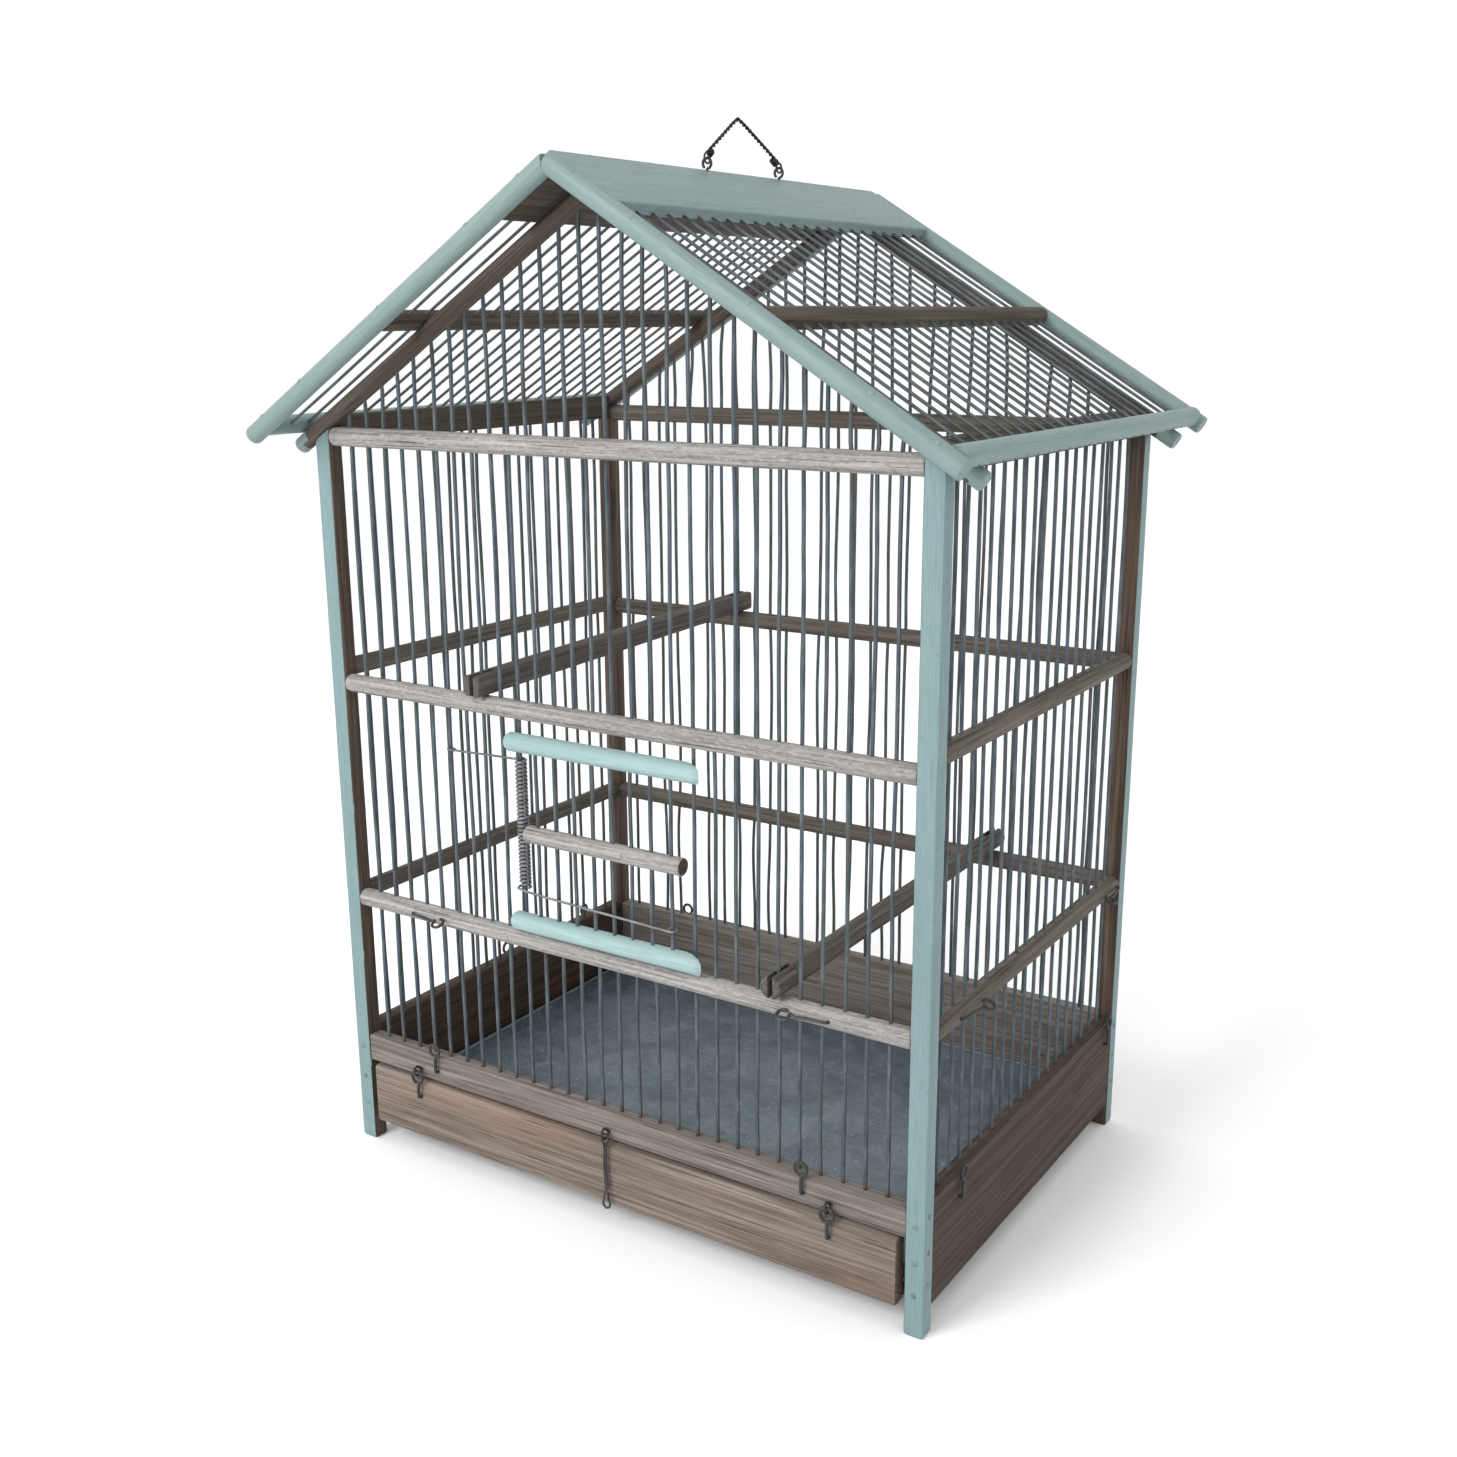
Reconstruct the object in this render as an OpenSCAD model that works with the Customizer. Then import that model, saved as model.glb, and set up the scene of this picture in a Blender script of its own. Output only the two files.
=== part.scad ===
// House-shaped bird cage: a pine frame with straight steel wires, a gable roof,
// a sprung wire door, a lift-up flap in front of the tray, and a wire carrying handle.
// Millimetres, +Z up. The door is on the -Y side. The origin is under the middle of the
// cage, on the surface that its four feet stand on.

/* [Frame] */
// Width across the corner posts
cage_w = 430; // [424:1:436]
// Depth across the corner posts
cage_d = 297; // [291:1:303]
// Width of a corner post, seen from the front
post_w = 12; // [12:0.5:13]
// Depth of a corner post, seen from the side
post_d = 11; // [10.5:0.5:12]
// Diameter of the round rails between the posts
rail_d = 12; // [11:0.5:12]
// Height of the front and back low rails
low_rail_z = 176; // [172:1:180]
// Height of the front and back middle rails
mid_rail_z = 322; // [320:1:326]
// Height of the front and back top rails
top_rail_z = 478; // [476:1:479]
// Height of the left and right low rails
side_low_rail_z = 178; // [174:1:182]
// Height of the left and right middle rails
side_mid_rail_z = 331; // [328:1:334]

/* [Wires] */
// Diameter of the cage wires
wire_d = 2.4; // [2:0.1:2.6]
// Number of wires in the front and back walls
front_wires = 28; // [28]
// Number of wires in each side wall
side_wires = 18; // [16:1:19]
// Number of wires in each roof slope
roof_wires = 23; // [20:1:23]

/* [Roof] */
// Height at which the centre lines of the two front barges meet
ridge_z = 625; // [620:1:630]
// Pitch of the roof in degrees
slope = 31.5; // [31:0.5:32]
// Diameter of the painted barges along the gable edges
barge_d = 11.5; // [11:0.5:12]
// Distance that a barge's centre line stands outside the post faces
overhang = 28; // [26:1:30]
// Diameter of the rafters
rafter_d = 11; // [10:0.5:11]
// Width of a ridge board down the slope
ridge_board_w = 48; // [44:1:52]

/* [Base] */
// Thickness of the base boards
board_t = 10; // [9:0.5:10]
// Height of the lower edge of the base boards
board_z = 16; // [14:1:17]
// Height of the upper edge of the side and back boards
board_top = 82; // [80:1:84]
// Height of the upper edge of the fixed front board
front_board_top = 78; // [77:1:80]
// Height of the lower edge of the fixed front board
flap_joint_z = 59.5; // [58:0.5:61]

/* [Door] */
// Height of the top batten of the door
door_top_z = 302.5; // [301:0.5:305]
// Height of the grip bar across the door
door_bar_z = 246; // [240:1:252]
// Half the length of a door batten
door_half = 71; // [70:1:72]

/* [Hidden] */
$fn = 48;

FIT = 0.04;                       // radial clearance of a wire or peg in its hole
PIN_FIT = 0.08;                   // radial clearance of a hinge wire in its bore
MARGIN = 1;                       // how far a cutting solid passes a face
PAINT = "#a0c4c2";
MINT = "#b4d6d2";
RAIL = "#8f877e";
BROWN = "#56463a";
BOARD = "#857365";
STEEL = "#5a666c";
ZINC = "#667c88";
DARK = "#33383a";

in_x = cage_w / 2 - post_w;       // inner faces of the posts
in_y = cage_d / 2 - post_d;
wall_x = cage_w / 2 - post_w / 2; // planes of the wires
wall_y = cage_d / 2 - post_d / 2;
pitch_x = 2 * in_x / (front_wires + 1);
pitch_y = 2 * in_y / (side_wires + 1);
function wire_x(i) = -in_x + pitch_x * (i + 1);
function wire_y(j) = -in_y + pitch_y * (j + 1);
hole_d = wire_d + 2 * FIT;
wire_seat = 8;                    // depth of a wire in the board below it

// Roof, in the frame of a slope: s runs down the slope from the apex, n points out of it
barge_y = cage_d / 2 + overhang;
roof_pitch_y = 2 * (barge_y - barge_d / 2) / (roof_wires + 1);
function roof_wire_y(k) = -(barge_y - barge_d / 2) + roof_pitch_y * (k + 1);
barge_end_x = 238;                // where a barge's centre line ends
eave_x = 231;                     // centre of an eave rod
eave_n = 2;                       // the eave rod's centre above the wires
purlin_x = 127;
rafter_n = -9.5;                  // the rafters' centre lines below the wires
rafter_end_x = 233;
ridge_low_n = -2.2;               // underside of a ridge board
ridge_top_n = 5.3;
eave_s = eave_x / cos(slope);
purlin_s = purlin_x / cos(slope);
rafter_end_s = (rafter_end_x - rafter_n * sin(slope)) / cos(slope);
wire_top_s = ridge_board_w - wire_seat;
wire_end_s = eave_s + rail_d / 2 - 0.1;
function rafter_z(x) = ridge_z - abs(x) * tan(slope) + rafter_n / cos(slope);
function post_top_z(x) = rafter_z(x) - rafter_d / 2 / cos(slope);

// Top plates under the eaves
plate_t = 9;
plate_low = 474;
plate_top = 491;

// Door, hinged on the wire to the left of the doorway
hinge_wire = 9;
stop_wire = 18;
door_y = -wall_y - 3;
door_bottom_z = low_rail_z + rail_d + 0.4;
door_wire_low = door_bottom_z - 5.5;
door_wire_top = door_top_z + 5.5;
grip_half = 57;
hinge_x = wire_x(hinge_wire);
batten_d = rail_d;
spring_wire_d = 1.3;
spring_r = 3.4;                   // mean radius of the spring's turns
spring_low = 211;
spring_top = 293;
turn_t = 1.7;                     // wall of the tubes that stand for the spring's turns
turn_h = 1.9;                     // height of the single turns at the ends of the spring's legs
anchor_wire = 5;                  // wall wire that the spring's fixed leg is looped round
leg_front_y = door_y - wire_d / 2 - spring_wire_d / 2 - 0.15;

// Flap, hung from small staples in the front board
flap_t = 10;
flap_face_y = -cage_d / 2 - 1;
flap_top = flap_joint_z - 2;
flap_low = board_z - 0.5;
flap_half = in_x - 5;
ring_r = 4.4;                     // mean radius of a screw eye's ring
eye_wire_d = 2.1;
staple_r = 3;
staple_wire_d = 1.8;
flap_eye_x = 156;
flap_axis_y = -cage_d / 2 + 0.5 - staple_r - 1.2;
flap_axis_z = 65;
flap_eye_foot_z = 45.5;

// Tray
tray_half_x = 198;
tray_half_y = 134;
tray_z = 22;
tray_h = 12;
sheet_t = 0.8;
runner_h = 5.8;

// Perches: each end is slotted over a wall wire and rests on a rail
perch_slot = wire_d + 0.8;
upper_perch_wire = 7;
lower_perch_wire = 22;
upper_perch_w = 12;
upper_perch_h = 13;
lower_perch_d = 14;
perch_nose = 10;                  // length of a perch in front of the wall wires

// Handle
handle_eye_y = [-30, 50.5];
handle_wire_d = 1.6;
handle_eye_z = ridge_z + ridge_top_n / cos(slope) + 3.6;
handle_apex = [0, 4, handle_eye_z + 28];
bail_ring_r = 3;

// Feeder stations: [place of the arm's peg along the wall, direction of the arm, place of the eye]
front_stations = [[-154, 1, -141], [154, -1, 138]];
right_stations = [[-111, 1, -104], [133, -1, 126]];
left_stations = [[-4, 1, 10], [92, 1, 105]];
back_station = [-160, 1, -146];
arm_len = 26;
arm_wire_d = 2.2;
arm_ring_r = 3.8;
arm_gap = 0.35;                   // space between an arm and its rail
peg_len = 6;
arm_peg = 4.2;                    // how far an arm's peg goes into its rail
arm_bore = 4.5;                   // depth of the peg's bore; it stops short of the rail's wire holes
arm_slant = 8;                    // angle at which an arm leaves its rail
arm_tilt = 25;                    // slant of the arm's ring
station_eye_z = 83;               // height of a screw eye's ring

// ---- helpers ----

module rod(p, q, d) {
    v = q - p;
    len = norm(v);
    translate(p)
        rotate([0, acos(v[2] / len), atan2(v[1], v[0])])
            cylinder(h = len, d = d);
}

module joint_ball(p, d) {
    translate(p) sphere(d = d);
}

// A ring whose own axis points along Z, before it is turned
module wire_ring(r, d) {
    rotate_extrude() translate([r, 0]) circle(d = d);
}

// Turns the children into the right slope's frame, or the left's when side is -1
module on_slope(side) {
    mirror([side < 0 ? 1 : 0, 0, 0])
        translate([0, 0, ridge_z])
            rotate([0, slope, 0])
                children();
}

module along_y(s, n, half, d) {
    translate([s, half, n]) rotate([90, 0, 0]) cylinder(h = 2 * half, d = d);
}

// Everything on the near side of the plane through the ridge
module half_space(side) {
    translate([side < 0 ? -400 : 0.02, -400, 0]) cube([400 - 0.02, 800, 800]);
}

module front_wire_holes(y, z0, z1, first, last) {
    for (i = [first : last])
        translate([wire_x(i), y, z0]) cylinder(h = z1 - z0, d = hole_d);
}

module side_wire_holes(x, z0, z1) {
    for (j = [0 : side_wires - 1])
        translate([x, wire_y(j), z0]) cylinder(h = z1 - z0, d = hole_d);
}

// ---- corner posts ----

module post(sx, sy) {
    chamfer = 1.6;
    inner = in_x;
    outer = cage_w / 2;
    mirror([sx < 0 ? 1 : 0, 0, 0]) mirror([0, sy < 0 ? 1 : 0, 0])
        intersection() {
            translate([0, cage_d / 2, 0]) rotate([90, 0, 0])
                linear_extrude(height = post_d)
                    polygon([[inner, chamfer], [inner + chamfer, 0], [outer - chamfer, 0],
                        [outer, chamfer], [outer, post_top_z(outer)], [inner, post_top_z(inner)]]);
            translate([inner - MARGIN, 0, 0]) rotate([90, 0, 90])
                linear_extrude(height = post_w + 2 * MARGIN)
                    polygon([[in_y, chamfer], [in_y + chamfer, 0], [cage_d / 2 - chamfer, 0],
                        [cage_d / 2, chamfer], [cage_d / 2, ridge_z], [in_y, ridge_z]]);
        }
}

module post_front_left() { color(PAINT) post(-1, -1); }
module post_front_right() { color(PAINT) post(1, -1); }
module post_back_left() { color(PAINT) post(-1, 1); }
module post_back_right() { color(PAINT) post(1, 1); }

// ---- rails ----

module rail_x(y, z) {
    translate([-in_x, y, z]) rotate([0, 90, 0]) cylinder(h = 2 * in_x, d = rail_d);
}

module rail_y(x, z) {
    along_y(x, z, in_y, rail_d);
}

module all_front_holes(y, z) {
    front_wire_holes(y, z - rail_d, z + rail_d, 0, front_wires - 1);
}

// The bore for an arm's peg, along Z from the rail's axis
module arm_peg_bore() {
    translate([0, 0, rail_d / 2 - arm_bore])
        cylinder(h = arm_bore + MARGIN, d = arm_wire_d + 2 * PIN_FIT);
}

module front_arm_pegs() {
    for (st = front_stations)
        translate([st[0], -wall_y, low_rail_z]) rotate([90, 0, 0]) arm_peg_bore();
}

module top_rail_body(sy) {
    difference() {
        rail_x(sy * wall_y, top_rail_z);
        all_front_holes(sy * wall_y, top_rail_z);
        for (side = [-1, 1]) rafter_cut(side, sy);
    }
}

module front_top_rail() { color(RAIL) top_rail_body(-1); }

module front_mid_rail() {
    color(RAIL) difference() {
        rail_x(-wall_y, mid_rail_z);
        front_wire_holes(-wall_y, mid_rail_z - rail_d, mid_rail_z + rail_d, 0, hinge_wire);
        front_wire_holes(-wall_y, mid_rail_z, mid_rail_z + rail_d, hinge_wire + 1, stop_wire - 1);
        front_wire_holes(-wall_y, mid_rail_z - rail_d, mid_rail_z + rail_d, stop_wire, front_wires - 1);
    }
}

module front_low_rail() {
    color(RAIL) difference() {
        rail_x(-wall_y, low_rail_z);
        front_wire_holes(-wall_y, low_rail_z - rail_d, low_rail_z + rail_d, 0, hinge_wire);
        front_wire_holes(-wall_y, low_rail_z - rail_d, low_rail_z, hinge_wire + 1, stop_wire - 1);
        front_wire_holes(-wall_y, low_rail_z - rail_d, low_rail_z + rail_d, stop_wire, front_wires - 1);
        front_arm_pegs();
    }
}

module back_rails() {
    color(RAIL) {
        top_rail_body(1);
        difference() {
            rail_x(wall_y, mid_rail_z + 7);
            all_front_holes(wall_y, mid_rail_z + 7);
        }
        difference() {
            rail_x(wall_y, low_rail_z + 2);
            all_front_holes(wall_y, low_rail_z + 2);
            translate([back_station[0], wall_y, low_rail_z + 2]) rotate([-90, 0, 0])
                arm_peg_bore();
        }
    }
}

module side_rail(side, z, stations) {
    difference() {
        rail_y(side * wall_x, z);
        side_wire_holes(side * wall_x, z - rail_d, z + rail_d);
        for (st = stations)
            translate([side * wall_x, st[0], z]) rotate([0, side * 90, 0]) arm_peg_bore();
    }
}

module left_rails() {
    color(RAIL) {
        side_rail(-1, side_mid_rail_z, []);
        side_rail(-1, side_low_rail_z, left_stations);
    }
}

module right_rails() {
    color(RAIL) {
        side_rail(1, side_mid_rail_z, []);
        side_rail(1, side_low_rail_z, right_stations);
    }
}

module top_plate(side) {
    x0 = side > 0 ? in_x + 0.5 : -in_x - 0.5 - plate_t;
    difference() {
        translate([x0, -in_y, plate_low]) cube([plate_t, 2 * in_y, plate_top - plate_low]);
        side_wire_holes(side * wall_x, plate_low - MARGIN, plate_low + wire_seat);
    }
}

module left_top_plate() { color(BROWN) top_plate(-1); }
module right_top_plate() { color(BROWN) top_plate(1); }

// ---- base boards, runners and tray ----

module front_board() {
    color(BOARD) difference() {
        translate([-in_x, -cage_d / 2 + 0.5, flap_joint_z])
            cube([2 * in_x, board_t, front_board_top - flap_joint_z]);
        front_wire_holes(-wall_y, front_board_top - wire_seat, front_board_top + MARGIN, 0, front_wires - 1);
        for (x = [-flap_eye_x, 0, flap_eye_x])
            translate([x, -cage_d / 2, flap_axis_z]) rotate([-90, 0, 0])
                cylinder(h = peg_len + 0.6, d = staple_wire_d + 2 * FIT);
        for (st = front_stations)
            eye_shank([st[2], -cage_d / 2 + 0.5, 0], 0, eye_wire_d + 2 * FIT);
    }
}

module side_board(side, stations) {
    x0 = side > 0 ? cage_w / 2 - 0.5 - board_t : -cage_w / 2 + 0.5;
    difference() {
        translate([x0, -in_y, board_z]) cube([board_t, 2 * in_y, board_top - board_z]);
        side_wire_holes(side * wall_x, board_top - wire_seat, board_top + MARGIN);
        for (st = stations)
            eye_shank([side * (cage_w / 2 - 0.5), st[2], 0], side * 90, eye_wire_d + 2 * FIT);
    }
}

module left_board() { color(BOARD) side_board(-1, left_stations); }
module right_board() { color(BOARD) side_board(1, right_stations); }

module back_board() {
    color(BOARD) difference() {
        translate([-in_x, cage_d / 2 - 0.5 - board_t, board_z])
            cube([2 * in_x, board_t, board_top - board_z]);
        front_wire_holes(wall_y, board_top - wire_seat, board_top + MARGIN, 0, front_wires - 1);
        eye_shank([back_station[2], cage_d / 2 - 0.5, 0], 180, eye_wire_d + 2 * FIT);
    }
}

module tray_runners() {
    strip_w = 10;
    for (side = [-1, 1])
        color(BOARD) translate([side > 0 ? cage_w / 2 - 0.5 - board_t - strip_w : -cage_w / 2 + 0.5 + board_t,
            -in_y, board_z])
            cube([strip_w, 2 * in_y, runner_h]);
}

module tray() {
    hem = 2.2;
    color(ZINC) {
        difference() {
            translate([-tray_half_x, -tray_half_y, tray_z])
                cube([2 * tray_half_x, 2 * tray_half_y, tray_h]);
            translate([-tray_half_x + sheet_t, -tray_half_y + sheet_t, tray_z + sheet_t])
                cube([2 * (tray_half_x - sheet_t), 2 * (tray_half_y - sheet_t), tray_h]);
        }
        difference() {
            translate([-tray_half_x, -tray_half_y, tray_z + tray_h - hem])
                cube([2 * tray_half_x, 2 * tray_half_y, hem]);
            translate([-tray_half_x + hem, -tray_half_y + hem, tray_z])
                cube([2 * (tray_half_x - hem), 2 * (tray_half_y - hem), tray_h + MARGIN]);
        }
    }
}

// ---- flap with its hinges and pull ----

module flap_board() {
    bevel = 1.2;
    low = flap_low;
    color(BOARD) difference() {
        translate([-flap_half, 0, 0]) rotate([90, 0, 90])
            linear_extrude(height = 2 * flap_half)
                polygon([[flap_face_y, low + bevel], [flap_face_y + bevel, low],
                    [flap_face_y + flap_t, low], [flap_face_y + flap_t, flap_top],
                    [flap_face_y + bevel, flap_top], [flap_face_y, flap_top - bevel]]);
        for (x = [-flap_eye_x, flap_eye_x])
            translate([x, flap_face_y - MARGIN, flap_eye_foot_z]) rotate([-90, 0, 0])
                cylinder(h = peg_len + MARGIN, d = eye_wire_d + 2 * FIT);
    }
}

module flap_eye(x) {
    ring_z = flap_axis_z - ring_r;
    translate([x, flap_axis_y, ring_z]) rotate([90, 0, 0]) wire_ring(ring_r, eye_wire_d);
    rod([x, flap_axis_y, ring_z - ring_r], [x, flap_axis_y, flap_eye_foot_z], eye_wire_d);
    joint_ball([x, flap_axis_y, flap_eye_foot_z], eye_wire_d);
    rod([x, flap_axis_y, flap_eye_foot_z], [x, flap_face_y + peg_len - 0.2, flap_eye_foot_z], eye_wire_d);
}

module flap_hinge_eyes() {
    color(DARK) for (x = [-flap_eye_x, flap_eye_x]) flap_eye(x);
}

module hinge_staples() {
    shank_y = flap_axis_y + staple_r;
    color(DARK) for (x = [-flap_eye_x, 0, flap_eye_x]) {
        translate([x, flap_axis_y, flap_axis_z]) rotate([0, 90, 0]) wire_ring(staple_r, staple_wire_d);
        rod([x, shank_y, flap_axis_z], [x, -cage_d / 2 + peg_len, flap_axis_z], staple_wire_d);
    }
}

module flap_pull_wire() {
    top_r = 2.6;
    loop_r = 2.9;
    d = 2;
    y = flap_axis_y;
    ring_z = flap_axis_z - top_r;
    neck_z = 27;
    loop_z = flap_low + loop_r - 1.4;
    color(DARK) {
        translate([0, y, ring_z]) rotate([90, 0, 0]) wire_ring(top_r, d);
        rod([0, y, ring_z - top_r], [0, y, neck_z], d + 0.6);
        for (side = [-1, 1]) rod([0, y, neck_z], [side * loop_r, y, loop_z], d);
        joint_ball([0, y, neck_z], d + 0.6);
        translate([0, y, loop_z]) rotate([90, 0, 0]) wire_ring(loop_r, d);
    }
}

// ---- wires ----

module wire_up(x, y, z0, z1) {
    translate([x, y, z0]) cylinder(h = z1 - z0, d = wire_d);
}

module gable_wires(sy, z0, skip_first, skip_last) {
    for (i = [0 : front_wires - 1])
        if (i < skip_first || i > skip_last)
            wire_up(wire_x(i), sy * wall_y, z0, rafter_z(wire_x(i)));
}

module front_wires() {
    z0 = front_board_top - wire_seat + 0.2;
    color(STEEL) {
        gable_wires(-1, z0, hinge_wire + 1, stop_wire - 1);
        for (i = [hinge_wire + 1 : stop_wire - 1]) {
            wire_up(wire_x(i), -wall_y, z0, low_rail_z - 0.2);
            wire_up(wire_x(i), -wall_y, mid_rail_z + 0.2, rafter_z(wire_x(i)));
        }
    }
}

module back_wires() {
    color(STEEL) gable_wires(1, board_top - wire_seat + 0.2, front_wires, front_wires);
}

module side_wire_set(side) {
    for (j = [0 : side_wires - 1])
        wire_up(side * wall_x, wire_y(j), board_top - wire_seat + 0.2, plate_low + wire_seat - 0.2);
}

module left_wires() { color(STEEL) side_wire_set(-1); }
module right_wires() { color(STEEL) side_wire_set(1); }

module slope_wires(side, d, s0, s1) {
    on_slope(side) for (k = [0 : roof_wires - 1])
        translate([s0, roof_wire_y(k), 0]) rotate([0, 90, 0]) cylinder(h = s1 - s0, d = d);
}

module roof_wires_left() { color(STEEL) slope_wires(-1, wire_d, wire_top_s + 0.2, wire_end_s); }
module roof_wires_right() { color(STEEL) slope_wires(1, wire_d, wire_top_s + 0.2, wire_end_s); }

// ---- roof frame ----

module rafter_cut(side, sy) {
    on_slope(side) translate([0, sy * wall_y, rafter_n]) rotate([0, 90, 0])
        cylinder(h = rafter_end_s, d = rafter_d + 2 * FIT);
}

module rafter(side, sy) {
    difference() {
        intersection() {
            on_slope(side) translate([-12, sy * wall_y, rafter_n]) rotate([0, 90, 0])
                cylinder(h = rafter_end_s + 12, d = rafter_d);
            half_space(side);
        }
        on_slope(side) {
            along_y(purlin_s, 0, barge_y, rail_d + 2 * FIT);
            along_y(eave_s, eave_n, barge_y, rail_d + 2 * FIT);
        }
        for (i = [0 : front_wires - 1])
            if (side * wire_x(i) > 0)
                translate([wire_x(i), sy * wall_y, rafter_z(wire_x(i)) - 3 * rafter_d])
                    cylinder(h = 3 * rafter_d + 0.2, d = hole_d);
    }
}

module rafter_front_left() { color(BROWN) rafter(-1, -1); }
module rafter_front_right() { color(BROWN) rafter(1, -1); }
module back_rafters() { color(BROWN) for (side = [-1, 1]) rafter(side, 1); }

module barge_cylinder(side, sy, d, s0, s1) {
    on_slope(side) translate([s0, sy * barge_y, 0]) rotate([0, 90, 0]) cylinder(h = s1 - s0, d = d);
}

module barge(side, sy) {
    intersection() {
        barge_cylinder(side, sy, barge_d, -8, barge_end_x / cos(slope));
        half_space(side);
    }
}

module barge_front_left() { color(PAINT) barge(-1, -1); }
module barge_front_right() { color(PAINT) barge(1, -1); }
module back_barges() { color(PAINT) for (side = [-1, 1]) barge(side, 1); }

module cross_rod(side, s, n) {
    difference() {
        on_slope(side) along_y(s, n, barge_y, rail_d);
        for (sy = [-1, 1]) barge_cylinder(side, sy, barge_d + 2 * FIT, 0, 400);
        slope_wires(side, hole_d, s - rail_d, s + rail_d);
    }
}

module left_eave_rod() { color(PAINT) cross_rod(-1, eave_s, eave_n); }
module right_eave_rod() { color(PAINT) cross_rod(1, eave_s, eave_n); }
module left_purlin() { color(BROWN) cross_rod(-1, purlin_s, 0); }
module right_purlin() { color(BROWN) cross_rod(1, purlin_s, 0); }

module ridge_board(side) {
    half = barge_y - 2.2;
    difference() {
        intersection() {
            on_slope(side) translate([-12, -half, ridge_low_n])
                cube([ridge_board_w + 12, 2 * half, ridge_top_n - ridge_low_n]);
            half_space(side);
        }
        for (sy = [-1, 1]) barge_cylinder(side, sy, barge_d + 2 * FIT, -20, 100);
        slope_wires(side, hole_d, wire_top_s, ridge_board_w + MARGIN);
        for (y = handle_eye_y)
            translate([0, y, handle_eye_z - 16]) cylinder(h = 16, d = staple_wire_d + 2 * FIT);
    }
}

module left_ridge_board() { color(PAINT) ridge_board(-1); }
module right_ridge_board() { color(PAINT) ridge_board(1); }

// ---- door ----

module hinge_bore(z) {
    translate([hinge_x, -wall_y, z - batten_d]) cylinder(h = 2 * batten_d, d = wire_d + 2 * PIN_FIT);
}

module door_wire_bores(z, r) {
    for (i = [hinge_wire + 1 : stop_wire - 1])
        translate([wire_x(i), door_y, z - r]) cylinder(h = 2 * r, d = hole_d);
}

// The back of a batten's right end is cut away so that it laps in front of the stop wire
module batten_scarf(z) {
    translate([wire_x(stop_wire) - 8.5, door_y + batten_d / 2, z])
        rotate([0, 0, -31])
            translate([0, 0, -batten_d]) cube([3 * batten_d, 2 * batten_d, 2 * batten_d]);
}

module batten(z) {
    difference() {
        translate([-door_half, door_y, z]) rotate([0, 90, 0]) cylinder(h = 2 * door_half, d = batten_d);
        batten_scarf(z);
        hinge_bore(z);
        door_wire_bores(z, batten_d);
    }
}

module door_top_batten() { color(MINT) batten(door_top_z); }
module door_bottom_batten() { color(MINT) batten(door_bottom_z); }

module door_grip_bar() {
    color(RAIL) difference() {
        translate([-grip_half, door_y, door_bar_z]) rotate([0, 90, 0]) cylinder(h = 2 * grip_half, d = 11);
        door_wire_bores(door_bar_z, batten_d);
    }
}

module door_wires() {
    color(STEEL) for (i = [hinge_wire + 1 : stop_wire - 1])
        wire_up(wire_x(i), door_y, door_wire_low, door_wire_top);
}

module wire_turn(p, r, h) {
    translate(p) difference() {
        cylinder(h = h, r = r + turn_t / 2, center = true);
        cylinder(h = h + 2 * MARGIN, r = r - turn_t / 2, center = true);
    }
}

module door_spring_coil() {
    leg_z = spring_top - 1.2;
    loop_z = spring_top - 3;
    loop_r = wire_d / 2 + turn_t / 2 + 0.05;
    anchor = [wire_x(anchor_wire), -wall_y, loop_z];
    color(STEEL) {
        wire_turn([hinge_x, -wall_y, (spring_low + spring_top) / 2], spring_r, spring_top - spring_low);
        rod([hinge_x, -wall_y - spring_r, leg_z], anchor + [1, -loop_r - 0.2, 0], spring_wire_d);
        wire_turn(anchor, loop_r, turn_h);
    }
}

module door_spring_leg() {
    turn_z = spring_low - turn_h / 2 - 0.3;
    end_z = turn_z - 4;
    // the last turn is opened wider, so that the leg leaves it in front of the door's wires
    turn_r = -leg_front_y - wall_y;
    loop_r = wire_d / 2 + turn_t / 2 + 0.05;
    last = [wire_x(stop_wire - 1), door_y, end_z];
    color(STEEL) {
        wire_turn([hinge_x, -wall_y, turn_z], turn_r, turn_h);
        rod([hinge_x + 1.4, leg_front_y, turn_z], [last[0] - 0.9, leg_front_y, end_z], spring_wire_d);
        wire_turn(last, loop_r, turn_h);
    }
}

// ---- perches ----

module upper_perch() {
    z_front = mid_rail_z + rail_d / 2;
    z_back = mid_rail_z + 7 + rail_d / 2;
    len = 2 * (wall_y + perch_nose);
    tilt = atan((z_back - z_front) / (2 * wall_y));
    x = wire_x(upper_perch_wire);
    color(BROWN) difference() {
        translate([x, 0, (z_front + z_back) / 2 + 0.15]) rotate([tilt, 0, 0])
            translate([-upper_perch_w / 2, -len / 2, 0]) cube([upper_perch_w, len, upper_perch_h]);
        for (sy = [-1, 1])
            translate([x - perch_slot / 2, sy > 0 ? wall_y - 12 : -wall_y - 30, z_front - 10])
                cube([perch_slot, 42, 50]);
    }
}

module lower_perch() {
    z_front = low_rail_z + (rail_d + lower_perch_d) / 2;
    len = 2 * (wall_y + perch_nose);
    tilt = atan(2 / (2 * wall_y));
    x = wire_x(lower_perch_wire);
    color(BROWN) difference() {
        translate([x, 0, z_front + 1.15]) rotate([tilt, 0, 0])
            translate([0, len / 2, 0]) rotate([90, 0, 0]) cylinder(h = len, d = lower_perch_d);
        for (sy = [-1, 1])
            translate([x - perch_slot / 2, sy > 0 ? wall_y - 12 : -wall_y - 30, low_rail_z])
                cube([perch_slot, 42, 50]);
    }
}

// ---- handle ----

module handle_eyes() {
    color(DARK) for (y = handle_eye_y) {
        translate([0, y, handle_eye_z]) rotate([90, 0, 0]) wire_ring(staple_r, staple_wire_d);
        rod([0, y, handle_eye_z - 14], [0, y, handle_eye_z - staple_r], staple_wire_d);
    }
}

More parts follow.
